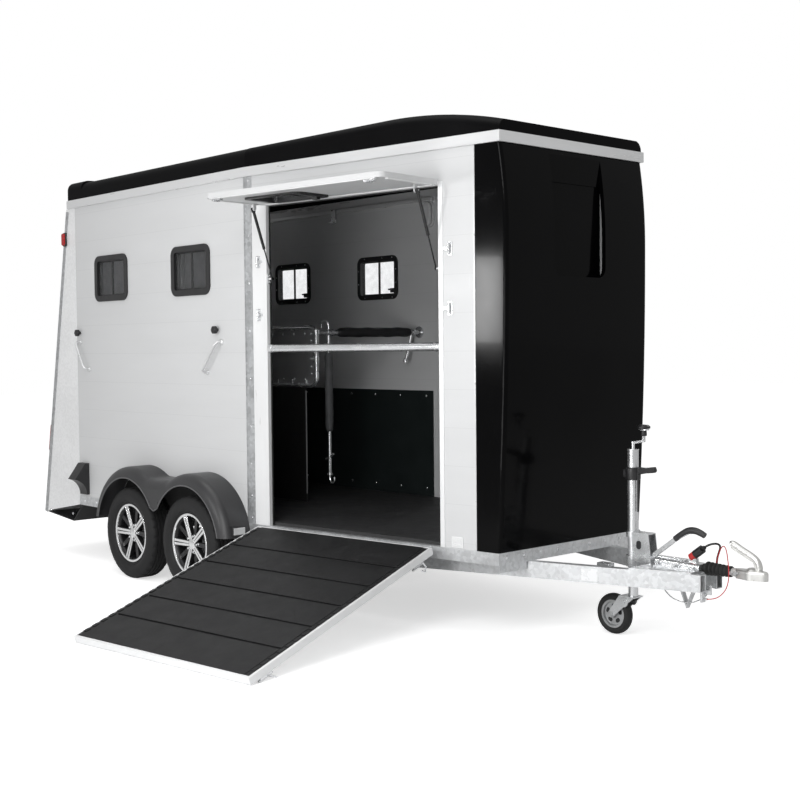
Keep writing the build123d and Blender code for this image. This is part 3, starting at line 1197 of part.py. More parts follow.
export_step(partition_frame.part, "parts/partition_frame.step")

SKIRT_FRONT = -3580
SKIRT_THICKNESS = 8
with BuildPart() as partition_skirt:
    with BuildSketch(Plane.XZ.offset(-SKIRT_THICKNESS / 2)):
        with Locations(((PARTITION_REAR + PARTITION_POST + 1 + SKIRT_FRONT) / 2,
                        (DECK_TOP + PARTITION_LOW - PARTITION_TUBE) / 2)):
            Rectangle(SKIRT_FRONT - PARTITION_REAR - PARTITION_POST - 1,
                      PARTITION_LOW - PARTITION_TUBE - DECK_TOP - 0.6)
    extrude(amount=SKIRT_THICKNESS)
partition_skirt.part.label = "partition_skirt"
export_step(partition_skirt.part, "parts/partition_skirt.step")

# Breast bars: one across the left stall, the other unhooked and hanging
BAR_Z = up(1700)
BAR_RADIUS = 17
BAR_PAD_RADIUS = 36
BAR_START = Vector(PARTITION_FRONT - 6, PARTITION_TUBE + 3.5, BAR_Z)
BAR_END = Vector(KINK_X - 175, INNER_Y - 6, BAR_Z)
BAR_DIR = (BAR_END - BAR_START).normalized()
BAR_LENGTH = (BAR_END - BAR_START).length
BAR_PLANE = Plane(origin=BAR_START, z_dir=BAR_DIR)
PAD_SPAN = (150, BAR_LENGTH - 72)
HANG_AT = 82
HANG_RADIUS = 12
HANG_PAD_RADIUS = 40
HANG_PAD = (up(1000), up(1560))
HANG_FOOT = up(694)
HANG_PLACE = BAR_START + BAR_DIR * HANG_AT
PAD_GAP = 0.3
with BuildPart() as breast_bars:
    with BuildSketch(BAR_PLANE):
        Circle(BAR_RADIUS)
    extrude(amount=BAR_LENGTH)
    with BuildSketch(Plane.XZ.offset(-INNER_Y)):
        with Locations((BAR_END.X, BAR_Z)):
            Circle(BAR_PAD_RADIUS + 6)
    extrude(amount=8)
    with BuildSketch(BAR_PLANE.offset(HANG_AT - 9)):
        Circle(BAR_RADIUS + 6)
    extrude(amount=18)
    with BuildSketch(Plane.XY.offset(HANG_FOOT + 14)):
        with Locations((HANG_PLACE.X, HANG_PLACE.Y)):
            Circle(HANG_RADIUS)
    extrude(amount=BAR_Z - BAR_RADIUS - HANG_FOOT - 14)
    with BuildSketch(Plane.XY.offset(HANG_FOOT)):
        with Locations((HANG_PLACE.X, HANG_PLACE.Y)):
            Circle(HANG_RADIUS + 8)
    extrude(amount=14)
breast_bars.part.label = "breast_bars"
export_step(breast_bars.part, "parts/breast_bars.step")

with BuildPart() as bar_pads:
    with BuildSketch(BAR_PLANE.offset(PAD_SPAN[0])):
        Circle(BAR_PAD_RADIUS)
        Circle(BAR_RADIUS + PAD_GAP, mode=Mode.SUBTRACT)
    extrude(amount=PAD_SPAN[1] - PAD_SPAN[0])
    with BuildSketch(Plane.XY.offset(HANG_PAD[0])):
        with Locations((HANG_PLACE.X, HANG_PLACE.Y)):
            Circle(HANG_PAD_RADIUS)
            Circle(HANG_RADIUS + PAD_GAP, mode=Mode.SUBTRACT)
    extrude(amount=HANG_PAD[1] - HANG_PAD[0])
bar_pads.part.label = "bar_pads"
export_step(bar_pads.part, "parts/bar_pads.step")

# Bar across the side door opening
DOOR_BAR_Z = up(1590)
DOOR_BAR_RADIUS = 24
DOOR_BAR_OUT = -15
with BuildPart() as door_bar:
    with BuildSketch(WALL_SIDE.offset(-DOOR_START)):
        with Locations((DOOR_BAR_OUT, DOOR_BAR_Z)):
            Circle(DOOR_BAR_RADIUS)
    extrude(amount=DOOR_START - DOOR_END)
door_bar.part.label = "door_bar"
export_step(door_bar.part, "parts/door_bar.step")

# Overrun coupling on the drawbar: housing, bellows and head
HOUSING_X = (-560, -285)
HOUSING_TOPS = (up(464), up(455))
HOUSING_HALF = 46
SHAFT_Z = up(435)
PLATE_TOP = RAIL_BOTTOM + TIE_PLATE
SOCKET_TILT = atan2(0.6, 0.8)
SOCKET_OUT = (cos(SOCKET_TILT), 0, sin(SOCKET_TILT))
SOCKET_PLANE = Plane(origin=(-362, 0, up(480)), x_dir=(0, 1, 0), z_dir=SOCKET_OUT)
SOCKET_RADIUS = 21
SOCKET_LENGTH = 30
with BuildPart() as overrun_housing:
    with BuildSketch(Plane.XZ.offset(-HOUSING_HALF)):
        with BuildLine():
            Polyline(
                (HOUSING_X[0], PLATE_TOP),
                (HOUSING_X[0], HOUSING_TOPS[0]),
                (HOUSING_X[1], HOUSING_TOPS[1]),
                (HOUSING_X[1], PLATE_TOP),
                close=True,
            )
        make_face()
    extrude(amount=2 * HOUSING_HALF)
    fillet(overrun_housing.faces().sort_by(Axis.Z)[-1].edges().filter_by(
        lambda e: e.bounding_box().size.X > 100), 16)
    with BuildSketch(Plane.XY.offset(PLATE_TOP)):
        with Locations(((HOUSING_X[0] + HOUSING_X[1]) / 2, 0)):
            Rectangle(HOUSING_X[1] - HOUSING_X[0] - 20, 2 * HOUSING_HALF + 44)
    extrude(amount=8)
    with BuildSketch(Plane.XZ.offset(-12)):
        with Locations((SOCKET_PLANE.origin.X + 16, HOUSING_TOPS[1] + 6)):
            Rectangle(44, 34)
    extrude(amount=24)
    with BuildSketch(SOCKET_PLANE.offset(-4)):
        Circle(SOCKET_RADIUS + 0.3)
    extrude(amount=3 * SOCKET_LENGTH, mode=Mode.SUBTRACT)
overrun_housing.part.label = "overrun_housing"
export_step(overrun_housing.part, "parts/overrun_housing.step")

BELLOWS_X = (-268, -113)
BELLOWS_RIBS = 7
BELLOWS_RADIUS = 36
BELLOWS_WAIST = 24
with BuildPart() as bellows:
    with BuildSketch(Plane.XZ):
        rib_step = (BELLOWS_X[1] - BELLOWS_X[0]) / BELLOWS_RIBS
        with BuildLine():
            Polyline((HOUSING_X[1], SHAFT_Z), (HOUSING_X[1], SHAFT_Z + 22), (BELLOWS_X[0], SHAFT_Z + 22),
                     (BELLOWS_X[0], SHAFT_Z + BELLOWS_WAIST))
            for rib in range(BELLOWS_RIBS):
                start = BELLOWS_X[0] + rib * rib_step
                radius = BELLOWS_RADIUS - 1.2 * rib
                Polyline(
                    (start, SHAFT_Z + BELLOWS_WAIST),
                    (start + 0.3 * rib_step, SHAFT_Z + radius),
                    (start + 0.6 * rib_step, SHAFT_Z + radius),
                    (start + rib_step, SHAFT_Z + BELLOWS_WAIST),
                )
            Polyline(
                (BELLOWS_X[1], SHAFT_Z + BELLOWS_WAIST),
                (BELLOWS_X[1], SHAFT_Z),
                (HOUSING_X[1], SHAFT_Z),
            )
        make_face()
    revolve(axis=Axis((0, 0, SHAFT_Z), (1, 0, 0)))
bellows.part.label = "bellows"
export_step(bellows.part, "parts/bellows.step")

BALL_RADIUS = 25.25
HEAD_BOTTOM = -20
HEAD_TOP = up(458)
HEAD_NOSE = 86
HEAD_RADIUS = 44
HEAD_NOSE_RADIUS = 24
HEAD_NECK_RADIUS = 28
HEAD_ROUND = 14
HANDLE_LINE = ((52, 24), (26, 78), (-20, 100), (-112, 142))
with BuildPart() as coupling_head:
    with BuildSketch(Plane.YZ.offset(BELLOWS_X[1])):
        with Locations((0, SHAFT_Z)):
            Circle(22)
    extrude(amount=60)
    with BuildSketch(Plane.XY.offset(HEAD_BOTTOM)):
        with Locations((0, 0)):
            Circle(HEAD_RADIUS)
        with Locations((HEAD_NOSE - HEAD_NOSE_RADIUS, 0)):
            Circle(HEAD_NOSE_RADIUS)
        with Locations((-64, 0)):
            Circle(HEAD_NECK_RADIUS)
        make_hull()
    extrude(amount=HEAD_TOP - HEAD_BOTTOM)
    fillet(coupling_head.faces().sort_by(Axis.Z)[-1].edges(), HEAD_ROUND)
    with BuildSketch(Plane.XZ.offset(-16)):
        with BuildLine():
            Polyline(
                *HANDLE_LINE,
                (HANDLE_LINE[3][0] - 6, HANDLE_LINE[3][1] - 14),
                (HANDLE_LINE[2][0] - 6, HANDLE_LINE[2][1] - 16),
                (HANDLE_LINE[1][0] - 16, HANDLE_LINE[1][1] - 10),
                (HANDLE_LINE[0][0] - 22, HANDLE_LINE[0][1]),
                close=True,
            )
        make_face()
    extrude(amount=32)
    with BuildSketch(Plane.XY.offset(HEAD_BOTTOM)):
        Circle(BALL_RADIUS)
    extrude(amount=-HEAD_BOTTOM, mode=Mode.SUBTRACT)
    Sphere(BALL_RADIUS, mode=Mode.SUBTRACT)
coupling_head.part.label = "coupling_head"
export_step(coupling_head.part, "parts/coupling_head.step")

# Handbrake lever, pivoted between the bracket plates of the jockey wheel
BRACKET_X = (-706, -592)
BRACKET_TOP = up(580)
BRACKET_HALF = 35
BRACKET_PLATE = 6
LEVER_Y = -14
LEVER_HALF = 7
LEVER_POINTS = ((-612, 21), (-436, 151), (-372, 190), (-330, 194), (-281, 178))
LEVER_DEPTHS = (24, 24, 34, 34, 24)
with BuildPart() as handbrake_lever:
    with BuildSketch(Plane.XZ.offset(-LEVER_Y - LEVER_HALF)):
        with BuildLine():
            upper = [(x, z + depth / 2) for (x, z), depth in zip(LEVER_POINTS, LEVER_DEPTHS)]
            lower = [(x + 8, z - depth / 2) for (x, z), depth in zip(LEVER_POINTS, LEVER_DEPTHS)]
            Polyline(*upper, *reversed(lower), close=True)
        make_face()
    extrude(amount=2 * LEVER_HALF)
    with BuildSketch(Plane.XZ.offset(-BRACKET_HALF + BRACKET_PLATE + 0.3)):
        with Locations((LEVER_POINTS[0][0] + 4, LEVER_POINTS[0][1])):
            Circle(11)
    extrude(amount=2 * (BRACKET_HALF - BRACKET_PLATE - 0.3))
handbrake_lever.part.label = "handbrake_lever"
export_step(handbrake_lever.part, "parts/handbrake_lever.step")

# Jockey wheel: column clamped behind the coupling, with its crank and bracket
COLUMN_FOOT = up(386)
CRANK_Z = up(1060)
CRANK_REACH = 72
CLAMP_ROOT = JOCKEY_TUBE_RADIUS - 2
with BuildPart() as jockey_tube:
    with BuildSketch(Plane.XY.offset(COLUMN_FOOT)):
        with Locations((JOCKEY_X, 0)):
            Circle(JOCKEY_TUBE_RADIUS)
    extrude(amount=JOCKEY_TOP - COLUMN_FOOT)
    with BuildSketch(Plane.XY.offset(JOCKEY_TOP - 6)):
        with Locations((JOCKEY_X, 0)):
            Circle(JOCKEY_TUBE_RADIUS + 2)
    extrude(amount=6)
    with BuildSketch(Plane.XY.offset(JOCKEY_TOP)):
        with Locations((JOCKEY_X, 0)):
            Circle(9)
    extrude(amount=CRANK_Z - JOCKEY_TOP + 8)
    with BuildSketch(Plane.XZ.offset(-6)):
        with BuildLine():
            Polyline(
                (JOCKEY_X, CRANK_Z - 6),
                (JOCKEY_X + CRANK_REACH + 6, CRANK_Z + 8),
                (JOCKEY_X + CRANK_REACH + 6, CRANK_Z + 60),
                (JOCKEY_X + CRANK_REACH - 6, CRANK_Z + 60),
                (JOCKEY_X + CRANK_REACH - 6, CRANK_Z + 19),
                (JOCKEY_X, CRANK_Z + 7),
                close=True,
            )
        make_face()
    extrude(amount=12)
    with BuildSketch(Plane.XY.offset(CRANK_Z + 42)):
        with Locations((JOCKEY_X + CRANK_REACH, 0)):
            Circle(13)
    extrude(amount=40)
    with BuildSketch(Plane.XY.offset(CRANK_Z + 72)):
        with Locations((JOCKEY_X + CRANK_REACH, 0)):
            Ellipse(32, 20)
    extrude(amount=26)
    for collar_z, collar_height in ((up(868), 56), (COLUMN_FOOT + 4, 60), (BRACKET_TOP - 30, 30)):
        with BuildSketch(Plane.XY.offset(collar_z)):
            with Locations((JOCKEY_X, 0)):
                Circle(JOCKEY_TUBE_RADIUS + 8)
        extrude(amount=collar_height)
    with BuildSketch(Plane.XZ.offset(-13)):
        with BuildLine():
            Polyline(
                (JOCKEY_X + CLAMP_ROOT, up(890)),
                (JOCKEY_X + 138, up(908)),
                (JOCKEY_X + 140, up(936)),
                (JOCKEY_X + CLAMP_ROOT, up(926)),
                close=True,
            )
        make_face()
    extrude(amount=26)
    for plate_y in (-BRACKET_HALF, BRACKET_HALF - BRACKET_PLATE):
        with BuildSketch(Plane.XZ.offset(-plate_y - BRACKET_PLATE)):
            with BuildLine():
                Polyline(
                    (BRACKET_X[0], PLATE_TOP),
                    (BRACKET_X[0] - 16, BRACKET_TOP),
                    (BRACKET_X[1] - 20, BRACKET_TOP),
                    (BRACKET_X[1], PLATE_TOP),
                    close=True,
                )
            make_face()
        extrude(amount=BRACKET_PLATE)
    with BuildSketch(Plane.XY.offset(BRACKET_TOP - BRACKET_PLATE)):
        with Locations(((BRACKET_X[0] + BRACKET_X[1]) / 2 - 12, 0)):
            Rectangle(BRACKET_X[1] - BRACKET_X[0] - 14, 2 * BRACKET_HALF)
    extrude(amount=BRACKET_PLATE)
    with BuildSketch(Plane.XY.offset(PLATE_TOP)):
        with Locations((BRACKET_X[0] + 24, 0)):
            Rectangle(76, 2 * BRACKET_HALF)
    extrude(amount=BRACKET_PLATE)
    with BuildSketch(Plane.XY.offset(COLUMN_FOOT)):
        with Locations((JOCKEY_X, 0)):
            Circle(JOCKEY_TUBE_BORE)
    extrude(amount=JOCKEY_TOP - COLUMN_FOOT - 6, mode=Mode.SUBTRACT)
jockey_tube.part.label = "jockey_tube"
export_step(jockey_tube.part, "parts/jockey_tube.step")

# Sliding leg with the fork, then the jockey wheel
LEG_RADIUS = JOCKEY_TUBE_BORE - 0.1
LEG_TOP = up(900)
FORK_TOP = up(226)
FORK_HALF = JOCKEY_WHEEL_WIDTH / 2 + 5
FORK_PLATE = 6
JOCKEY_HUB = (JOCKEY_X - JOCKEY_TRAIL, 0, up(JOCKEY_WHEEL_RADIUS))
JOCKEY_PIN = 8
with BuildPart() as jockey_leg:
    with BuildSketch(Plane.XY.offset(FORK_TOP)):
        with Locations((JOCKEY_X, 0)):
            Circle(LEG_RADIUS)
            Circle(LEG_RADIUS - 4, mode=Mode.SUBTRACT)
    extrude(amount=LEG_TOP - FORK_TOP)
    with BuildSketch(Plane.XY.offset(FORK_TOP - FORK_PLATE)):
        with Locations((JOCKEY_X - 16, 0)):
            Rectangle(100, 2 * (FORK_HALF + FORK_PLATE))
    extrude(amount=FORK_PLATE)
    for plate_y in (-FORK_HALF - FORK_PLATE, FORK_HALF):
        with BuildSketch(Plane.XZ.offset(-plate_y - FORK_PLATE)):
            with BuildLine():
                Polyline(
                    (JOCKEY_X + 34, FORK_TOP),
                    (JOCKEY_X - 66, FORK_TOP),
                    (JOCKEY_HUB[0] - 18, JOCKEY_HUB[2] + 8),
                    (JOCKEY_HUB[0], JOCKEY_HUB[2] - 18),
                    (JOCKEY_HUB[0] + 20, JOCKEY_HUB[2] - 8),
                    close=True,
                )
            make_face()
        extrude(amount=FORK_PLATE)
    with BuildSketch(Plane.XZ.offset(-FORK_HALF - FORK_PLATE - 4)):
        with Locations((JOCKEY_HUB[0], JOCKEY_HUB[2])):
            Circle(JOCKEY_PIN)
    extrude(amount=2 * (FORK_HALF + FORK_PLATE + 4))
jockey_leg.part.label = "jockey_leg"
export_step(jockey_leg.part, "parts/jockey_leg.step")

JOCKEY_RIM_RADIUS = 78
JOCKEY_HALF = JOCKEY_WHEEL_WIDTH / 2
RIM_EDGE = (JOCKEY_RIM_RADIUS, JOCKEY_HALF - 6)
TREAD_EDGE = (JOCKEY_WHEEL_RADIUS - 10, JOCKEY_HALF - 5)
with BuildPart() as jockey_tyre:
    with BuildSketch(Plane(origin=JOCKEY_HUB, x_dir=(0, 0, 1), z_dir=(-1, 0, 0))):
        with BuildLine():
            Polyline((JOCKEY_RIM_RADIUS, 0), RIM_EDGE)
            ThreePointArc(RIM_EDGE, (JOCKEY_RIM_RADIUS + 14, JOCKEY_HALF), TREAD_EDGE)
            ThreePointArc(TREAD_EDGE, (JOCKEY_WHEEL_RADIUS - 3, JOCKEY_HALF - 14), (JOCKEY_WHEEL_RADIUS, 0))
            mirror(about=Plane.XZ)
        make_face()
    revolve(axis=Axis(JOCKEY_HUB, (0, 1, 0)))
jockey_tyre.part.label = "jockey_tyre"
export_step(jockey_tyre.part, "parts/jockey_tyre.step")

with BuildPart() as jockey_rim:
    with BuildSketch(Plane(origin=JOCKEY_HUB, x_dir=(0, 0, 1), z_dir=(-1, 0, 0))):
        with BuildLine():
            Polyline(
                (JOCKEY_PIN + PIN_GAP, 0),
                (JOCKEY_PIN + PIN_GAP, JOCKEY_HALF),
                (20, JOCKEY_HALF),
                (24, 8),
                (62, 8),
                (66, JOCKEY_HALF - 8),
                (JOCKEY_RIM_RADIUS - 0.3, JOCKEY_HALF - 8),
                (JOCKEY_RIM_RADIUS - 0.3, 0),
            )
            mirror(about=Plane.XZ)
        make_face()
    revolve(axis=Axis(JOCKEY_HUB, (0, 1, 0)))
jockey_rim.part.label = "jockey_rim"
export_step(jockey_rim.part, "parts/jockey_rim.step")

# Parking socket and the plug held in it
PLUG_RADIUS = 22
PLUG_LENGTH = 56
with BuildPart() as plug_socket:
    with BuildSketch(SOCKET_PLANE):
        Circle(SOCKET_RADIUS)
    extrude(amount=SOCKET_LENGTH)
plug_socket.part.label = "plug_socket"
export_step(plug_socket.part, "parts/plug_socket.step")

with BuildPart() as cable_plug:
    with BuildSketch(SOCKET_PLANE.offset(SOCKET_LENGTH)):
        Circle(PLUG_RADIUS)
    extrude(amount=PLUG_LENGTH)
    with BuildSketch(SOCKET_PLANE.offset(SOCKET_LENGTH + PLUG_LENGTH)):
        Circle(11)
    extrude(amount=16)
cable_plug.part.label = "cable_plug"
export_step(cable_plug.part, "parts/cable_plug.step")


def cord_path(points):
    """Straight runs joined by arcs as large as the two runs at each point allow."""
    runs = [(b - a).length for a, b in zip(points, points[1:])]
    radii = []
    for before, here, after, first, second in zip(points, points[1:], points[2:], runs, runs[1:]):
        turn = radians((here - before).get_angle(after - here))
        radii.append(0.45 * min(first, second) / tan(turn / 2))
    print("cord radii", [round(radius, 1) for radius in radii], "runs", [round(run, 1) for run in runs])
    FilletPolyline(*points, radius=radii)


# Electric cable from the left beam over the bellows to its plug
CABLE_RADIUS = 5.5
cable_end = SOCKET_PLANE.origin + SOCKET_PLANE.z_dir * (SOCKET_LENGTH + PLUG_LENGTH + 16)
CABLE_POINTS = [
    Vector(GLAND_PLACE[0], GLAND_PLACE[1], GLAND_TOP),
    Vector(GLAND_PLACE[0], GLAND_PLACE[1], 38),
    Vector(-248, 78, 76),
    Vector(-228, 64, 106),
    Vector(-218, 42, 127),
    Vector(-226, 18, 136),
    cable_end + SOCKET_PLANE.z_dir * 26,
    cable_end,
]
with BuildPart() as electric_cable:
    with BuildLine() as cable_line:
        cord_path(CABLE_POINTS)
    cable_start = Plane(origin=CABLE_POINTS[0], z_dir=CABLE_POINTS[1] - CABLE_POINTS[0])
    with BuildSketch(cable_start) as cable_section:
        Circle(CABLE_RADIUS)
    sweep(cable_section.sketch, path=cable_line.wires()[0])
electric_cable.part.label = "electric_cable"
export_step(electric_cable.part, "parts/electric_cable.step")

# Breakaway cable: rises beside the bellows, drops on the near side, clip at its end
BREAKAWAY_RADIUS = 2.5
BREAKAWAY_POINTS = [
    Vector(EYELET_PLACE[0], EYELET_PLACE[1], EYELET_TOP),
    Vector(EYELET_PLACE[0], EYELET_PLACE[1], 32),
    Vector(-238, 60, 70),
    Vector(-220, 52, 104),
    Vector(-194, 36, 126),
    Vector(-164, 12, 122),
    Vector(-138, -14, 96),
    Vector(-118, -36, 58),
    Vector(-104, -50, 12),
    Vector(-104, -54, -38),
    Vector(-122, -52, -84),
    Vector(-156, -48, -118),
    Vector(-196, -44, -140),
    Vector(-236, -42, -146),
]
with BuildPart() as breakaway_cable:
    with BuildLine() as breakaway_line:
        cord_path(BREAKAWAY_POINTS)
    first_run = BREAKAWAY_POINTS[1] - BREAKAWAY_POINTS[0]
    with BuildSketch(Plane(origin=BREAKAWAY_POINTS[0], z_dir=first_run)) as thin_section:
        Circle(BREAKAWAY_RADIUS)
    sweep(thin_section.sketch, path=breakaway_line.wires()[0])
breakaway_cable.part.label = "breakaway_cable"
export_step(breakaway_cable.part, "parts/breakaway_cable.step")

CLIP_LENGTH = 34
CLIP_RADIUS = 6
with BuildPart() as breakaway_clip:
    clip_dir = (BREAKAWAY_POINTS[-1] - BREAKAWAY_POINTS[-2]).normalized()
    with BuildSketch(Plane(origin=BREAKAWAY_POINTS[-1], z_dir=clip_dir)):
        Circle(CLIP_RADIUS)
    extrude(amount=CLIP_LENGTH)
breakaway_clip.part.label = "breakaway_clip"
export_step(breakaway_clip.part, "parts/breakaway_clip.step")
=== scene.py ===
import bpy
import bmesh
import math
from mathutils import Matrix, Vector


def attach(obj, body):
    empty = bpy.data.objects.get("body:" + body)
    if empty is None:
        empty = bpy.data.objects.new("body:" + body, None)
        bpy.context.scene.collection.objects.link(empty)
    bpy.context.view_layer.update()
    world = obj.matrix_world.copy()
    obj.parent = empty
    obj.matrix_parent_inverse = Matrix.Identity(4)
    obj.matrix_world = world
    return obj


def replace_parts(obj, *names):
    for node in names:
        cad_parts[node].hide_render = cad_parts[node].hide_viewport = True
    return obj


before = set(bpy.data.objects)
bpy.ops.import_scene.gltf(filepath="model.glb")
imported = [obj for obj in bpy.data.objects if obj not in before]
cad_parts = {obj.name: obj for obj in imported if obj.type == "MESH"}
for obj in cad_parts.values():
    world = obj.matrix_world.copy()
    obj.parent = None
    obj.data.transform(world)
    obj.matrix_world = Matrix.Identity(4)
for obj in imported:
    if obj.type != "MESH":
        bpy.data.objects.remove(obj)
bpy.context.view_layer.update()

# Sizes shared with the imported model, in metres
BALL_HEIGHT = 0.43
HALF_WIDTH = 0.85
WALL = 0.03
REAR_X = -5.3
KINK_X = -3.095
NOSE_X = -1.135
NOSE_HALF_WIDTH = 0.616
TAPER = math.atan2(HALF_WIDTH - NOSE_HALF_WIDTH, NOSE_X - KINK_X)
TYRE_RADIUS = 0.317
WHEEL_Y = 0.9525
WHEEL_X = {"front": -3.53, "rear": -4.27}
REAR_TOP = (-5.435, 2.651)
REAR_FOOT = (-5.876, 0.315)


def up(height):
    return height - BALL_HEIGHT


RAIL_TOP = up(0.481)
RAIL_BOTTOM = up(0.413)
WALL_TOP = up(2.67)
HUB_Z = up(TYRE_RADIUS)


def plane(origin, x_dir, z_dir):
    """Local frame as a matrix: x along x_dir, z along z_dir."""
    x = Vector(x_dir).normalized()
    z = Vector(z_dir).normalized()
    y = z.cross(x)
    turn = Matrix((x, y, z)).transposed().to_4x4()
    return Matrix.Translation(Vector(origin)) @ turn


def upright(x, y, z):
    """Local frame at a point, with its axes along the trailer's."""
    return plane((x, y, z), (1, 0, 0), (0, 0, 1))


def sideways(x, y, z, way=-1):
    """Local frame at a point that faces the right-hand side, or the left one where way is 1."""
    return plane((x, y, z), (-way, 0, 0), (0, way, 0))


def turned(at, place, quarters, axis):
    """Frame moved to a place and turned in quarters about one of its axes."""
    return at @ Matrix.Translation(place) @ Matrix.Rotation(quarters * math.pi / 2, 4, axis)


def polar(radius, turn, z):
    """Point at a radius and an angle about z."""
    return Vector((radius * math.cos(turn), radius * math.sin(turn), z))


ORIGIN = (0, 0, 0)
MIRROR = Matrix.Scale(-1, 4, (0, 1, 0))
WORLD = Matrix.Identity(4)
ALONG = Vector((math.cos(TAPER), math.sin(TAPER), 0))
OUT = Vector((math.sin(TAPER), -math.cos(TAPER), 0))
RIGHT_WALL = sideways(REAR_X, -HALF_WIDTH, 0)
TAPER_WALL = plane((KINK_X, -HALF_WIDTH, 0), ALONG, OUT)
REAR_TILT = math.atan2(REAR_TOP[0] - REAR_FOOT[0], REAR_TOP[1] - REAR_FOOT[1])
REAR_OUT = (-math.cos(REAR_TILT), 0, math.sin(REAR_TILT))
REAR_WALL = plane((REAR_FOOT[0], 0, up(REAR_FOOT[1])), (0, -1, 0), REAR_OUT)

# The side ramp lies on the ground: x down the slope, y along the wall, z out of its face
RAMP_LENGTH = 1.455
RAMP_WIDTH = 1.396
RAMP_START = 0.02
RAMP_MID = 0.855
RAMP_HINGE_OUT = 0.046
RAMP_HINGE_Z = up(0.463)
RAMP_BACK = -0.012
RAMP_EDGE = 0.042
RAMP_FOOT_GAP = 0.003
ramp_drop = RAMP_HINGE_Z - up(RAMP_FOOT_GAP)
RAMP_SLOPE = math.asin(ramp_drop / math.hypot(RAMP_LENGTH, RAMP_BACK))
RAMP_SLOPE -= math.atan2(-RAMP_BACK, RAMP_LENGTH)
RAMP_DOWN = OUT * math.cos(RAMP_SLOPE) + Vector((0, 0, -math.sin(RAMP_SLOPE)))
RAMP_NORMAL = OUT * math.sin(RAMP_SLOPE) + Vector((0, 0, math.cos(RAMP_SLOPE)))
RAMP = plane(TAPER_WALL @ Vector((RAMP_MID, RAMP_HINGE_Z, RAMP_HINGE_OUT)), RAMP_DOWN, RAMP_NORMAL)

# The hatch is held up level: x along the wall, y towards it, z up
HATCH_MID = 0.894
HATCH_TOP = up(2.49) + 0.012
HATCH = plane(TAPER_WALL @ Vector((HATCH_MID, HATCH_TOP, 0)), ALONG, (0, 0, 1))


def placed(name, data):
    """New object for a mesh, curve, lamp or camera, linked to the scene."""
    obj = bpy.data.objects.new(name, data)
    bpy.context.collection.objects.link(obj)
    return obj


# Materials
COAT_ROUGHNESS = 0.04
PATCH_RANGE = (0.28, 0.72)
PATCH_DETAIL = 5.0
PATCH_ROUGHNESS = 0.6
GRAIN_DETAIL = 3.0
SPREAD_RANGE = (0.25, 0.75)
LEAST_ROUGHNESS = 0.02
FLAKE_SHARE = 0.38
GROOVE_COLOR = (0.01, 0.01, 0.01, 1)
GROOVE_DEPTH = 3.0


def fresh_tree(owner):
    """Emptied node tree of a material or a world."""
    owner.use_nodes = True
    owner.node_tree.nodes.clear()
    return owner.node_tree


def node(tree, kind, inputs=None, **settings):
    """New shader node; an input is a value, or a socket to link."""
    made = tree.nodes.new(kind)
    for key, value in settings.items():
        setattr(made, key, value)
    for key, value in (inputs or {}).items():
        if isinstance(value, bpy.types.NodeSocket):
            tree.links.new(value, made.inputs[key])
        else:
            made.inputs[key].default_value = value
    return made


def maths(tree, operation, a, b=None):
    inputs = {0: a}
    if b is not None:
        inputs[1] = b
    return node(tree, "ShaderNodeMath", inputs, operation=operation).outputs[0]


def shade(color, factor):
    return tuple(min(1, max(0, channel * factor)) for channel in color[:3]) + (1,)


def grooves(tree, axis_value, spacing, width, offset):
    """1 inside thin lines repeated along one coordinate, and 0 between them."""
    shifted = maths(tree, "ADD", axis_value, offset)
    cell = maths(tree, "FRACT", maths(tree, "DIVIDE", shifted, spacing))
    from_middle = maths(tree, "ABSOLUTE", maths(tree, "SUBTRACT", cell, 0.5))
    return maths(tree, "LESS_THAN", from_middle, width / spacing / 2)


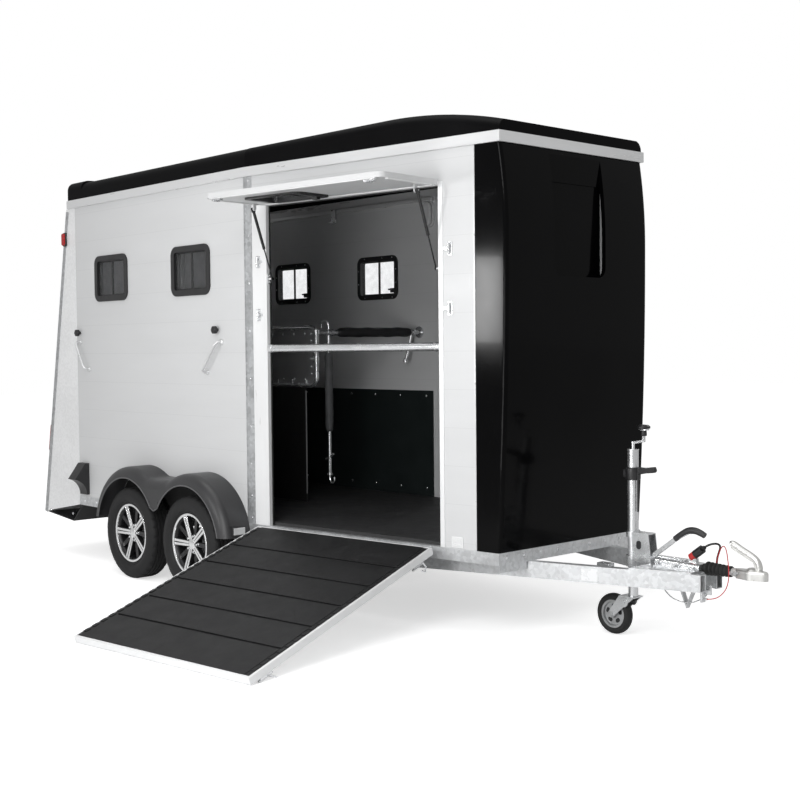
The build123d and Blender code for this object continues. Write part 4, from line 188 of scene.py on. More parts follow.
def material(name, color, rough, metal, vary, patch, grain, bump, rough_vary=0.12, lines=None, spangle=0.0,
             coat=0.0, specular=0.5, stretch=(1, 1, 1), depth=0.0006):
    """Procedural finish: patches of colour, fine grain in the bump, and optional lines or zinc spangle."""
    made = bpy.data.materials.new(name)
    tree = fresh_tree(made)
    output = node(tree, "ShaderNodeOutputMaterial")
    shader = node(tree, "ShaderNodeBsdfPrincipled", {
        "Metallic": metal, "Specular IOR Level": specular,
        "Coat Weight": coat, "Coat Roughness": COAT_ROUGHNESS})
    tree.links.new(shader.outputs[0], output.inputs[0])
    place = node(tree, "ShaderNodeTexCoord").outputs["Object"]
    place = node(tree, "ShaderNodeMapping", {"Vector": place, "Scale": stretch}).outputs[0]
    patches = node(tree, "ShaderNodeTexNoise", {
        "Vector": place, "Scale": patch, "Detail": PATCH_DETAIL, "Roughness": PATCH_ROUGHNESS}).outputs[0]
    tone = patches
    if spangle:
        cells = node(tree, "ShaderNodeTexVoronoi", {"Vector": place, "Scale": spangle}).outputs["Color"]
        flake = node(tree, "ShaderNodeSeparateColor", {0: cells}).outputs[0]
        tone = maths(tree, "ADD", maths(tree, "MULTIPLY", patches, 1 - FLAKE_SHARE),
                     maths(tree, "MULTIPLY", flake, FLAKE_SHARE))
    ramp = node(tree, "ShaderNodeValToRGB", {0: tone})
    for element, position, factor in zip(ramp.color_ramp.elements, PATCH_RANGE, (1 - vary, 1 + vary)):
        element.position = position
        element.color = shade(color, factor)
    tint = ramp.outputs[0]
    fine = node(tree, "ShaderNodeTexNoise", {
        "Vector": place, "Scale": grain, "Detail": GRAIN_DETAIL}).outputs[0]
    height = fine
    if lines:
        axis, spacing, width, offset, dark = lines
        split = node(tree, "ShaderNodeSeparateXYZ", {0: node(tree, "ShaderNodeTexCoord").outputs["Object"]})
        mask = grooves(tree, split.outputs[axis], spacing, width, offset)
        fade = maths(tree, "MULTIPLY", mask, dark)
        mixed = node(tree, "ShaderNodeMix", {"Factor": fade, 6: tint, 7: GROOVE_COLOR}, data_type="RGBA")
        tint = mixed.outputs[2]
        height = maths(tree, "SUBTRACT", fine, maths(tree, "MULTIPLY", mask, GROOVE_DEPTH))
    tree.links.new(tint, shader.inputs["Base Color"])
    spread = node(tree, "ShaderNodeMapRange", {
        "Value": patches, "From Min": SPREAD_RANGE[0], "From Max": SPREAD_RANGE[1],
        "To Min": max(LEAST_ROUGHNESS, rough - rough_vary), "To Max": min(1, rough + rough_vary)})
    tree.links.new(spread.outputs[0], shader.inputs["Roughness"])
    relief = node(tree, "ShaderNodeBump", {"Height": height, "Strength": bump, "Distance": depth})
    tree.links.new(relief.outputs[0], shader.inputs["Normal"])
    return made


# Finishes: name, colour, roughness, metal, variation, patch scale, grain scale, bump
PLANK_LINES = ("Z", 0.21, 0.0022, 0.02, 0.12)
M = {
    "panel": material("wall_panel", (0.56, 0.565, 0.57), 0.42, 0, 0.025, 1.2, 260, 0.05, lines=PLANK_LINES,
                      stretch=(1, 1, 6)),
    "pillar": material("post_profile", (0.74, 0.745, 0.75), 0.36, 0.15, 0.03, 2, 300, 0.05,
                       stretch=(4, 4, 0.6)),
    "zinc": material("hot_dip_zinc", (0.62, 0.63, 0.64), 0.42, 0.75, 0.13, 4, 120, 0.1, spangle=55),
    "strip": material("zinc_strip", (0.48, 0.49, 0.5), 0.42, 0.8, 0.17, 9, 150, 0.12, spangle=48),
    "wedge": material("zinc_wedge", (0.84, 0.845, 0.85), 0.44, 0.35, 0.05, 3, 120, 0.08, spangle=70),
    "plated": material("bright_zinc", (0.72, 0.73, 0.74), 0.26, 0.9, 0.06, 10, 160, 0.08),
    "cast": material("cast_coupling", (0.7, 0.7, 0.68), 0.34, 0.85, 0.1, 22, 420, 0.5),
    "black_shell": material("gloss_shell", (0.0012, 0.0012, 0.0014), 0.13, 0, 0.3, 2, 7, 0.035,
                            rough_vary=0.04, coat=0.03, specular=0.06, depth=0.004),
    "black_roof": material("roof_shell", (0.003, 0.003, 0.0033), 0.46, 0, 0.3, 2, 6, 0.04,
                           rough_vary=0.06, specular=0.04, depth=0.004),
    "band": material("silver_band", (0.66, 0.665, 0.67), 0.33, 0.35, 0.04, 3, 320, 0.04,
                     stretch=(0.4, 0.4, 5)),
    "guard": material("guard_plastic", (0.026, 0.026, 0.0275), 0.4, 0, 0.12, 4, 900, 0.25),
    # Rolled lip of the guards: a lighter grey than the guard, a painted highlight along the lip
    "lip": material("guard_lip_painted_highlight", (0.085, 0.085, 0.088), 0.34, 0, 0.1, 8, 900, 0.15),
    "trim": material("black_trim", (0.012, 0.012, 0.013), 0.42, 0, 0.15, 12, 700, 0.18),
    "rubber": material("black_rubber", (0.014, 0.014, 0.014), 0.62, 0, 0.22, 14, 500, 0.3, specular=0.35),
    "tyre": material("tyre_rubber", (0.013, 0.013, 0.0135), 0.66, 0, 0.2, 9, 600, 0.3, specular=0.3),
    "mat": material("ramp_rubber", (0.0075, 0.0075, 0.008), 0.58, 0, 0.25, 7, 260, 0.6, specular=0.35,
                    depth=0.0012),
    "deck": material("floor_rubber", (0.022, 0.022, 0.023), 0.6, 0, 0.2, 6, 150, 0.5, depth=0.0012),
    "kick": material("kick_board", (0.013, 0.017, 0.017), 0.45, 0, 0.15, 5, 300, 0.15, specular=0.3),
    "divider": material("divider_panel", (0.24, 0.24, 0.245), 0.38, 0.3, 0.1, 5, 300, 0.1),
    "tube": material("bright_tube", (0.7, 0.71, 0.72), 0.22, 0.85, 0.05, 8, 260, 0.05),
    "polished": material("polished_alloy", (0.8, 0.805, 0.81), 0.17, 0.92, 0.05, 30, 500, 0.05,
                         rough_vary=0.06),
    "dark_alloy": material("dark_alloy", (0.016, 0.016, 0.017), 0.32, 0.35, 0.15, 20, 500, 0.1),
    "drum": material("drum_zinc", (0.45, 0.455, 0.46), 0.4, 0.8, 0.15, 20, 300, 0.2),
    "axle": material("axle_zinc", (0.3, 0.305, 0.31), 0.5, 0.6, 0.2, 8, 200, 0.2, spangle=60),
    "grip": material("silver_grip", (0.66, 0.665, 0.67), 0.34, 0.55, 0.06, 20, 400, 0.1),
    "red": material("red_plastic", (0.45, 0.02, 0.02), 0.35, 0, 0.12, 30, 400, 0.08),
    "cable_red": material("red_sheath", (0.5, 0.02, 0.025), 0.32, 0, 0.1, 40, 600, 0.1),
    "cable": material("cable_sheath", (0.012, 0.012, 0.012), 0.45, 0, 0.15, 40, 600, 0.15),
    "pad": material("pad_cover", (0.01, 0.01, 0.011), 0.5, 0, 0.2, 16, 900, 0.45, specular=0.4),
    "trim_rod": material("dark_rod", (0.03, 0.03, 0.032), 0.2, 0.8, 0.05, 8, 260, 0.03),
    "edge": material("ramp_edge", (0.66, 0.665, 0.67), 0.38, 0.1, 0.03, 4, 300, 0.05),
    "strap": material("strap_cover", (0.075, 0.077, 0.08), 0.6, 0, 0.15, 12, 900, 0.5, specular=0.3),
    "blank": material("blank_plate", (0.78, 0.79, 0.8), 0.3, 0.1, 0.02, 20, 500, 0.05),
}


LENS_FINISH = (0, 0.08, 20, 300, 0.08, 0.04)


def lens(name, color, rough, ior, transmission):
    """Moulded lens or tinted glass, part clear."""
    made = material(name, color, rough, *LENS_FINISH)
    shader = [n for n in made.node_tree.nodes if n.type == "BSDF_PRINCIPLED"][0]
    shader.inputs["Transmission Weight"].default_value = transmission
    shader.inputs["IOR"].default_value = ior
    return made


M["glass"] = lens("tinted_pane", (0.9, 0.91, 0.92), 0.02, 1.05, 0.97)
M["clear"] = lens("clear_lens", (0.86, 0.87, 0.88), 0.08, 1.45, 0.35)
M["red_lens"] = lens("red_lens", (0.5, 0.012, 0.012), 0.08, 1.45, 0.3)


# Shapes: boxes, prisms, turned profiles and tubes gathered into one mesh
WASHER = 1.5
BEVEL_ANGLE = 40
PIN_END = 0.002
BOX_FACES = [(0, 1, 3, 2), (4, 6, 7, 5), (0, 4, 5, 1), (2, 3, 7, 6), (0, 2, 6, 4), (1, 5, 7, 3)]


class Shape:
    def __init__(self):
        self.verts = []
        self.faces = []

    def add(self, verts, faces):
        start = len(self.verts)
        self.verts += [Vector(v) for v in verts]
        self.faces += [[start + i for i in face] for face in faces]
        return self

    def box(self, at, centre, size):
        corners = [(i, j, k) for i in (-0.5, 0.5) for j in (-0.5, 0.5) for k in (-0.5, 0.5)]
        verts = [at @ Vector([c + s * d for c, s, d in zip(centre, size, corner)]) for corner in corners]
        return self.add(verts, BOX_FACES)

    def prism(self, at, outline, low, high):
        count = len(outline)
        verts = [at @ Vector((x, y, z)) for z in (low, high) for x, y in outline]
        sides = [(i, (i + 1) % count, count + (i + 1) % count, count + i) for i in range(count)]
        return self.add(verts, [tuple(range(count)), tuple(range(count, 2 * count))] + sides)

    def lathe(self, at, profile, steps=32):
        """profile of (radius, height) turned about the local z of a frame; radius 0 closes it."""
        rings = []
        verts = []
        for radius, height in profile:
            if radius < 1e-6:
                rings.append([len(verts)] * steps)
                verts.append(at @ Vector((0, 0, height)))
                continue
            rings.append(list(range(len(verts), len(verts) + steps)))
            for step in range(steps):
                turn = 2 * math.pi * step / steps
                verts.append(at @ polar(radius, turn, height))
        faces = []
        for low, high in zip(rings, rings[1:]):
            for step in range(steps):
                after = (step + 1) % steps
                face = []
                for index in (low[step], low[after], high[after], high[step]):
                    if index not in face:
                        face.append(index)
                if len(face) > 2:
                    faces.append(face)
        return self.add(verts, faces)

    def bolt(self, at, place, radius, height):
        """Round-headed bolt on a washer, standing on the local xy plane at place."""
        seat = at @ Matrix.Translation(place)
        rim = radius * WASHER
        profile = [(0, -0.001), (rim, -0.001), (rim, 0.0015), (radius, 0.0018), (radius, height * 0.6),
                   (radius * 0.75, height * 0.92), (0, height)]
        return self.lathe(seat, profile, 10)

    def pin(self, at, radius, length, steps, tip=0.001):
        """Round pin along the local z, a little pointed at both ends."""
        return self.lathe(at, [(0, 0), (radius, tip), (radius, length - PIN_END), (0, length)], steps)

    def tube(self, points, radius, steps=10):
        """Round tube along smooth points; radius is one number or one for each point."""
        line = [Vector(p) for p in points]
        radii = radius if isinstance(radius, (list, tuple)) else [radius] * len(line)
        normal = None
        rings = []
        verts = []
        for i, point in enumerate(line):
            ahead = line[min(i + 1, len(line) - 1)] - line[max(i - 1, 0)]
            ahead.normalize()
            if normal is None:
                normal = ahead.orthogonal().normalized()
            normal = (normal - ahead * normal.dot(ahead)).normalized()
            side = ahead.cross(normal)
            rings.append(list(range(len(verts), len(verts) + steps)))
            for step in range(steps):
                turn = 2 * math.pi * step / steps
                verts.append(point + (normal * math.cos(turn) + side * math.sin(turn)) * radii[i])
        faces = [list(reversed(rings[0])), rings[-1]]
        for low, high in zip(rings, rings[1:]):
            faces += [(low[s], low[(s + 1) % steps], high[(s + 1) % steps], high[s]) for s in range(steps)]
        return self.add(verts, faces)

    def mirrored(self):
        """The same again on the other side of the trailer."""
        flipped = [Vector((v.x, -v.y, v.z)) for v in self.verts]
        return self.add(flipped, [list(reversed(face)) for face in self.faces])

    def piece(self, name, look, body="root", slot=None, bevel=0.0, angle=35, segments=2):
        """One object of all that was gathered, with its look and body; slot is not used."""
        mesh = bpy.data.meshes.new(name)
        mesh.from_pydata([tuple(v) for v in self.verts], [], [tuple(f) for f in self.faces])
        edit = bmesh.new()
        edit.from_mesh(mesh)
        bmesh.ops.recalc_face_normals(edit, faces=edit.faces)
        edit.to_mesh(mesh)
        edit.free()
        mesh.polygons.foreach_set("use_smooth", [True] * len(mesh.polygons))
        mesh.set_sharp_from_angle(angle=math.radians(angle))
        mesh.materials.append(M[look])
        obj = placed(name, mesh)
        if bevel:
            rounding = obj.modifiers.new("rounding", "BEVEL")
            rounding.width = bevel
            rounding.segments = segments
            rounding.limit_method = "ANGLE"
            rounding.angle_limit = math.radians(BEVEL_ANGLE)
        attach(obj, body)
        return obj


def smooth_path(points, steps=8):
    """Points of a smooth line through the given ones."""
    line = [Vector(p) for p in points]
    line = [line[0] * 2 - line[1]] + line + [line[-1] * 2 - line[-2]]
    made = []
    for a, b, c, d in zip(line, line[1:], line[2:], line[3:]):
        for step in range(steps):
            t = step / steps
            made.append(0.5 * (2 * b + (c - a) * t + (2 * a - 5 * b + 4 * c - d) * t * t
                               + (3 * b - a - 3 * c + d) * t ** 3))
    return made + [line[-2]]


def arc_points(radius, start, end, steps):
    """(x, y) points on a circle about the origin, from one angle in degrees to another."""
    turns = [math.radians(start + (end - start) * step / steps) for step in range(steps + 1)]
    return [(radius * math.cos(turn), radius * math.sin(turn)) for turn in turns]


def around(count, start, radius):
    """(x, y) places spread evenly round a circle, the first at an angle in degrees."""
    return arc_points(radius, start, start + 360, count)[:-1]


def rounded_outline(width, height, radius, steps=6):
    """Corner points of a rounded rectangle about the origin."""
    made = []
    for sx, sy, start in ((1, 1, 0), (-1, 1, 90), (-1, -1, 180), (1, -1, 270)):
        for a, b in arc_points(radius, start, start + 90, steps):
            made.append((sx * (width / 2 - radius) + a, sy * (height / 2 - radius) + b))
    return made


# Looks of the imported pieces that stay
LOOKS = {
    "panel": ("side_walls", "front_walls", "rear_ramp", "rear_flap", "side_hatch", "side_ramp"),
    "pillar": ("door_frame",),
    "zinc": ("chassis_frame", "drawbar"),
    "strip": ("joint_strips",),
    "wedge": ("rear_frame",),
    "plated": ("jockey_tube", "jockey_leg", "handbrake_lever", "overrun_housing"),
    "cast": ("coupling_head",),
    "black_shell": ("nose_shell",),
    "black_roof": ("roof_rear", "roof_front"),
    "band": ("trim_band",),
    "guard": ("mudguards",),
    "trim": ("window_frames", "hatch_window_frame", "wheel_chocks", "rear_apron", "cable_plug"),
    "rubber": ("bellows", "partition_skirt", "jockey_tyre"),
    "deck": ("floor_deck",),
    "kick": ("kick_panels",),
    "divider": ("partition_frame",),
    "tube": ("breast_bars", "door_bar"),
    "trim_rod": ("strut_rod_front", "strut_rod_rear"),
    "drum": ("jockey_rim",),
    "axle": ("axles",),
    "grip": ("grab_handles",),
    "red": ("plug_socket",),
    "glass": ("window_panes", "hatch_pane"),
    "clear": ("marker_lamps",),
    "red_lens": ("tail_lamps",),
    "dark_alloy": ("strut_barrel_front", "strut_barrel_rear"),
    "polished": ("breakaway_clip",),
}
for look, nodes in LOOKS.items():
    for name in nodes:
        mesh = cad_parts[name].data
        mesh.materials.clear()
        mesh.materials.append(M[look])

# Cords: the cable to the parking socket, and the breakaway cable with its clip
CABLE_DIAMETER = 0.011
BREAKAWAY_DIAMETER = 0.005
CABLE_ROUTE = [
    (-0.262, 0.082, -0.001), (-0.262, 0.082, 0.038), (-0.248, 0.078, 0.076), (-0.228, 0.064, 0.106),
    (-0.218, 0.042, 0.127), (-0.226, 0.018, 0.136), (-0.2596, 0.0, 0.1268), (-0.2804, 0.0, 0.1112),
]
BREAKAWAY_ROUTE = [
    (-0.25, 0.062, -0.007), (-0.25, 0.062, 0.032), (-0.238, 0.06, 0.07), (-0.22, 0.052, 0.104),
    (-0.194, 0.036, 0.126), (-0.164, 0.012, 0.122), (-0.138, -0.014, 0.096), (-0.118, -0.036, 0.058),
    (-0.104, -0.05, 0.012), (-0.104, -0.054, -0.038), (-0.122, -0.052, -0.084), (-0.156, -0.048, -0.118),
    (-0.196, -0.044, -0.14), (-0.236, -0.042, -0.146),
]


def cord_piece(name, route, diameter, look, replaced):
    """Round cord along a smooth line of its route, in place of its solid."""
    curve = bpy.data.curves.new(name, "CURVE")
    curve.dimensions = "3D"
    curve.bevel_depth = diameter / 2
    curve.bevel_resolution = 3
    curve.resolution_u = 10
    curve.use_fill_caps = True
    spline = curve.splines.new("NURBS")
    spline.points.add(len(route) - 1)
    for point, place in zip(spline.points, route):
        point.co = (*place, 1)
    spline.order_u = 3
    spline.use_endpoint_u = True
    obj = placed(name, curve)
    curve.materials.append(M[look])
    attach(obj, "root")
    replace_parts(obj, replaced)
    return obj


cable = cord_piece("cable_line", CABLE_ROUTE, CABLE_DIAMETER, "cable", "electric_cable")
breakaway = cord_piece("breakaway_line", BREAKAWAY_ROUTE, BREAKAWAY_DIAMETER, "cable_red",
                       "breakaway_cable")

# Road tyres: blocks and grooves cut into the tread, rings on the sidewalls
TREAD_STEPS = 150
TREAD_BLOCK = 5
TREAD_GROOVE = 0.006
TREAD_LINES = (-0.04, -0.014, 0.014, 0.04)
TREAD_EDGE = 0.054
GROOVE_EDGES = (-0.0045, -0.003, 0.003, 0.0045)
GROOVE_HALF = 0.0035
SHOULDER_RADIUS = 0.298
SHOULDER_Y = 0.042
SIDEWALL_Y = 0.07
SIDE_PROFILE = [
    (0.19, -0.0615), (0.2045, -0.0615), (0.213, -0.0745), (0.219, -0.08), (0.222, -0.0785),
    (0.236, -0.0885), (0.252, -0.0925), (0.272, -0.0912), (0.276, -0.0888), (0.29, -0.085),
    (0.3, -0.08), (0.309, -0.073), (0.314, -0.064),
]


def tread_profile():
    """Half section points with a depth mark: 0 stays, 1 is a ring groove, 2 is a shoulder block."""
    marks = [(radius, y, 2 if radius > SHOULDER_RADIUS else 0) for radius, y in SIDE_PROFILE]
    across = [-TREAD_EDGE]
    for line in TREAD_LINES:
        across += [line + edge for edge in GROOVE_EDGES]
    across.append(TREAD_EDGE)
    for y in across:
        deep = any(abs(y - line) < GROOVE_HALF for line in TREAD_LINES)
        marks.append((TYRE_RADIUS, y, 1 if deep else (2 if abs(y) > SHOULDER_Y else 0)))
    marks += [(radius, -y, 2 if radius > SHOULDER_RADIUS else 0) for radius, y in reversed(SIDE_PROFILE)]
    return marks


def tyre_shape(at):
    """Tyre about the local z, its section turned in steps and cut at the marks."""
    made = Shape()
    marks = tread_profile()
    verts = []
    for step in range(TREAD_STEPS):
        turn = 2 * math.pi * step / TREAD_STEPS
        for radius, y, mark in marks:
            cut = TREAD_GROOVE if mark == 1 or (mark == 2 and step % TREAD_BLOCK == 0) else 0
            reach = radius - cut * (0.5 if mark == 2 and abs(y) > SIDEWALL_Y else 1)
            verts.append(at @ polar(reach, turn, y))
    count = len(marks)
    faces = []
    for step in range(TREAD_STEPS):
        after = (step + 1) % TREAD_STEPS
        for i in range(count):
            j = (i + 1) % count
            faces.append((step * count + i, step * count + j, after * count + j, after * count + i))
    return made.add(verts, faces)


WEDGE_FACES = [(0, 1, 2, 3), (4, 7, 6, 5), (0, 4, 5, 1), (1, 5, 6, 2), (2, 6, 7, 3), (3, 7, 4, 0)]


def wedge_bar(made, at, angle, near, far, depth):
    """Tapered bar from near to far, each (radius, left offset, right offset, top height)."""
    turn = at @ Matrix.Rotation(math.radians(angle), 4, "Z")
    verts = []
    for radius, left, right, top in (near, far):
        verts += [turn @ Vector(p) for p in ((radius, left, top - depth), (radius, right, top - depth),
                                             (radius, right, top), (radius, left, top))]
    return made.add(verts, WEDGE_FACES)


# Rims: dark barrel with five spokes and five ribs, bright faces, bolts and the brake drum behind
SPOKES = 5
SPOKE_STEP = 72
SPOKE_TURN = 108
NUT_CIRCLE = 0.054
DRUM_BOLT_CIRCLE = 0.08
RIM_BARREL = [
    (0.1897, -0.061), (0.203, -0.062), (0.203, -0.07), (0.184, -0.07), (0.176, -0.056), (0.172, 0.03),
    (0.176, 0.052), (0.188, 0.064), (0.203, 0.066), (0.203, 0.062), (0.1897, 0.061), (0.1897, -0.061),
]
RIM_LIP = [
    (0.186, 0.0615), (0.188, 0.069), (0.196, 0.0705), (0.2032, 0.07), (0.2034, 0.064), (0.186, 0.0615),
]
HUB_CONE = [(0, 0.01), (0.066, 0.01), (0.064, 0.036), (0.04, 0.046), (0, 0.048)]
HUB_CAP = [(0.024, 0.044), (0.034, 0.046), (0.036, 0.053), (0.03, 0.056), (0, 0.057)]
WHEEL_NUT = [
    (0, 0), (0.0135, 0), (0.0135, 0.008), (0.0095, 0.008), (0.0095, 0.018), (0.006, 0.021), (0, 0.021),
]
SPOKE = ((0.03, -0.02, 0.02, 0.05), (0.19, -0.0225, 0.0225, 0.0625), 0.03)
RIB = ((0.03, -0.016, 0.016, 0.038), (0.188, -0.015, 0.015, 0.05), 0.02)
BRAKE_DRUM = [
    (0.0215, -0.067), (0.102, -0.067), (0.104, -0.06), (0.104, -0.034), (0.098, -0.026),
    (0.06, -0.024), (0.06, 0.01), (0.0215, 0.01), (0.0215, -0.067),
]
for end, x in WHEEL_X.items():
    for side_name, side in (("right", -1), ("left", 1)):
        wheel = f"wheel_{end}_{side_name}"
        spot = f"{end}_{side_name}"
        hub = sideways(x, side * WHEEL_Y, HUB_Z, side)
        tyre = tyre_shape(hub).piece(f"road_tyre_{spot}", "tyre", wheel, "road_tyre", angle=28)
        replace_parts(tyre, f"tyre_{spot}")
        barrel = Shape().lathe(hub, RIM_BARREL, 64)
        bright = Shape().lathe(hub, RIM_LIP, 64)
        for k in range(SPOKES):
            angle = SPOKE_TURN + SPOKE_STEP * k
            wedge_bar(barrel, hub, angle, *SPOKE)
            wedge_bar(barrel, hub, angle + SPOKE_STEP / 2, *RIB)
            for way in (-1, 1):
                inner = sorted((way * 0.001, way * 0.0165))
                outer = sorted((way * 0.0045, way * 0.0205))
                wedge_bar(bright, hub, angle, (0.028, *inner, 0.0525), (0.191, *outer, 0.065), 0.006)
        barrel.lathe(hub, HUB_CONE, 40)
        bright.lathe(hub, HUB_CAP, 40)
        barrel.piece(f"rim_body_{spot}", "dark_alloy", wheel, "alloy_rim", bevel=0.0015)
        rim = bright.piece(f"rim_face_{spot}", "polished", wheel, "alloy_rim", bevel=0.001)
        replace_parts(rim, f"rim_{spot}")
        nuts = Shape()
        for a, b in around(SPOKES, SPOKE_TURN + SPOKE_STEP / 2, NUT_CIRCLE):
            nuts.lathe(hub @ Matrix.Translation((a, b, 0.034)), WHEEL_NUT, 6)
        nuts.piece(f"wheel_bolts_{spot}", "plated", wheel, "alloy_rim", bevel=0.0006)
        brake = Shape().lathe(hub, BRAKE_DRUM, 48)
        for a, b in around(4, 45, DRUM_BOLT_CIRCLE):
            brake.bolt(hub, (a, b, -0.0255), 0.007, 0.008)
        brake.piece(f"brake_drum_{spot}", "drum", wheel, "alloy_rim")

# Side windows: centre bar of the sliding pane, catch and screws, both sides
WINDOW_MIDS = (0.298 + 0.2315, 1.343 + 0.2315)
WINDOW_MID_Z = up(2.283) - 0.1675
SCREW_X = 0.212
SCREW_Z = 0.148
window_screws = [(dx, way * SCREW_Z) for way in (1, -1) for dx in (-0.14, 0.06, 0.17)]
window_screws += [(way * SCREW_X, dz) for way in (1, -1) for dz in (0.06, -0.04)]
inside_wall = turned(RIGHT_WALL, ORIGIN, 2, "X")
bars = Shape()
catches = Shape()
screws = Shape()
for mid in WINDOW_MIDS:
    bars.box(RIGHT_WALL, (mid, WINDOW_MID_Z, -0.013), (0.016, 0.262, 0.01))
    for part in (-1, 1):
        bars.box(RIGHT_WALL, (mid, WINDOW_MID_Z + part * 0.1235, -0.013), (0.386, 0.01, 0.012))
    catches.box(RIGHT_WALL, (mid + 0.165, WINDOW_MID_Z - 0.098, -0.03), (0.042, 0.034, 0.018))
    catches.box(RIGHT_WALL, (mid + 0.14, WINDOW_MID_Z - 0.09, -0.038), (0.03, 0.012, 0.01))
    for dx, dz in window_screws:
        screws.bolt(inside_wall, (mid + dx, -(WINDOW_MID_Z + dz), WALL + 0.01), 0.0035, 0.003)
bars.mirrored().piece("window_bars", "trim", slot="black_trim", bevel=0.001)
catches.mirrored().piece("window_catches", "trim", slot="black_trim", bevel=0.003)
screws.mirrored().piece("window_screws", "plated", slot="bar_metal")

# Hatch: bar and screws of its window, edge profiles below, catches at its outer corners
HATCH_OUTER = 0.51
HATCH_EDGE_Z = -0.0325
HATCH_CATCH_X = 0.6
HATCH_WINDOW = (-0.27, -0.248)
hatch_bar = Shape().box(HATCH, (*HATCH_WINDOW, -0.013), (0.016, 0.22, 0.01))
hatch_bar.box(HATCH, (HATCH_WINDOW[0] + 0.16, HATCH_WINDOW[1] + 0.085, -0.046), (0.04, 0.03, 0.014))
hatch_bar.piece("hatch_window_bar", "trim", "side_hatch", "black_trim", bevel=0.001)
edging = Shape()
for y, size in ((-HATCH_OUTER + 0.012, 1.3), (-0.06, 1.36)):
    edging.box(HATCH, (0, y, HATCH_EDGE_Z), (size, 0.022, 0.006))
for x in (-0.683, 0.683):
    edging.box(HATCH, (x, -0.27, HATCH_EDGE_Z), (0.022, 0.36, 0.006))
edging.piece("hatch_edging", "pillar", "side_hatch", "hatch_panel", bevel=0.002)
hatch_under = turned(HATCH, ORIGIN, 2, "X")
hatch_catches = Shape()
for x in (-HATCH_CATCH_X, HATCH_CATCH_X):
    hatch_catches.box(HATCH, (x, -0.488, -0.041), (0.07, 0.026, 0.01))
    hatch_catches.box(HATCH, (x, -0.5, -0.047), (0.016, 0.05, 0.01))
    hatch_catches.bolt(hatch_under, (x - 0.026, 0.488, 0.046), 0.006, 0.005)
hatch_catches.piece("hatch_catches", "plated", "side_hatch", "bar_metal", bevel=0.002)

# Door frame: keepers on post and pillar, strut brackets, vent and seal strips
POST_EDGES = (0.19, 1.56)
KEEPERS = [
    (1.64, -0.046, 2.125, 0.0), (1.64, -0.046, 1.8, 0.0), (0.118, 0.032, 2.129, 0.004),
    (0.118, 0.032, 1.8, 0.004),
]
keepers = Shape()
for along, reach, height, seat in KEEPERS:
    z = up(height)
    keepers.box(TAPER_WALL, (along + reach / 2, z, seat + 0.007), (abs(reach), 0.016, 0.012))
    keepers.box(TAPER_WALL, (along, z, seat + 0.003), (0.03, 0.074, 0.006))
    keepers.pin(turned(TAPER_WALL, (along, z - 0.034, seat + 0.014), -1, "X"), 0.006, 0.068, 14)
    for dz in (-0.026, 0.026):
        keepers.bolt(TAPER_WALL, (along + 0.001, z + dz, seat + 0.006), 0.005, 0.004)
keepers.piece("door_keepers", "plated", slot="bar_metal", bevel=0.0015)
STRUT_Z = up(2.022)
brackets = Shape()
for along, way in zip(POST_EDGES, (1, -1)):
    brackets.box(TAPER_WALL, (along + way * 0.003, STRUT_Z, -0.016), (0.006, 0.06, 0.026))
    for dz in (-0.02, 0.02):
        inward = turned(TAPER_WALL, (along + way * 0.006, STRUT_Z + dz, -0.016), way, "Y")
        brackets.bolt(inward, ORIGIN, 0.005, 0.004)
brackets.piece("strut_brackets", "plated", slot="bar_metal", bevel=0.001)
VENT_X = 1.6775
vent = Shape().box(TAPER_WALL, (VENT_X, up(0.517), 0.002), (0.079, 0.062, 0.004))
for k in range(5):
    vent.box(TAPER_WALL, (VENT_X, up(0.497) + 0.01 * k, 0.005), (0.06, 0.004, 0.004))
vent.piece("vent_plate", "pillar", slot="pale_aluminium", bevel=0.001)
SEAL_TOP = up(2.475)
SEAL_OUT = -0.024
seal_length = SEAL_TOP - RAIL_TOP - 0.004
seal = Shape()
for along in (0.194, 1.556):
    seal.box(TAPER_WALL, (along, (RAIL_TOP + SEAL_TOP) / 2, SEAL_OUT), (0.007, seal_length, 0.01))
seal.box(TAPER_WALL, (0.875, up(2.471), SEAL_OUT), (1.36, 0.007, 0.01))
seal.piece("door_seal", "rubber", slot="black_rubber", bevel=0.002)
strip_height = WALL_TOP - RAIL_TOP - 0.004
strip = Shape().box(TAPER_WALL, (1.807, (RAIL_TOP + WALL_TOP) / 2, 0.0015), (0.006, strip_height, 0.003))
strip.mirrored().piece("nose_joint_strip", "band", slot="silver_band", bevel=0.001)

# Side ramp: mat in six strips with tabs at both edges
MAT_STRIPS = 6
MAT_GAP = 0.008
FRAME_TOP = 0.028
WHITE_EDGE = 0.014
TAB_PITCH = 0.058
face_mid = (RAMP_START + RAMP_LENGTH) / 2
face_length = RAMP_LENGTH - RAMP_START
mat_length = RAMP_LENGTH - RAMP_START - 2 * RAMP_EDGE - 0.001
mat_width = RAMP_WIDTH - 2 * RAMP_EDGE - 0.001
lap = RAMP_EDGE - WHITE_EDGE
pitch = mat_length / MAT_STRIPS
mat = Shape().box(RAMP, (face_mid, 0, FRAME_TOP - 0.0055), (mat_length, mat_width, 0.003))
for k in range(MAT_STRIPS):
    low = RAMP_START + RAMP_EDGE + pitch * k + (MAT_GAP if k else -lap)
    high = RAMP_START + RAMP_EDGE + pitch * (k + 1) + (lap if k == MAT_STRIPS - 1 else -MAT_GAP)
    mat.box(RAMP, ((low + high) / 2, 0, FRAME_TOP + 0.0001), (high - low, mat_width - 0.012, 0.0082))
for way in (-1, 1):
    mat.box(RAMP, (face_mid, way * (mat_width / 2 + lap / 2), FRAME_TOP + 0.0008),
            (mat_length + 2 * lap, lap + 0.012, 0.0014))
tab_count = int(mat_length / TAB_PITCH)
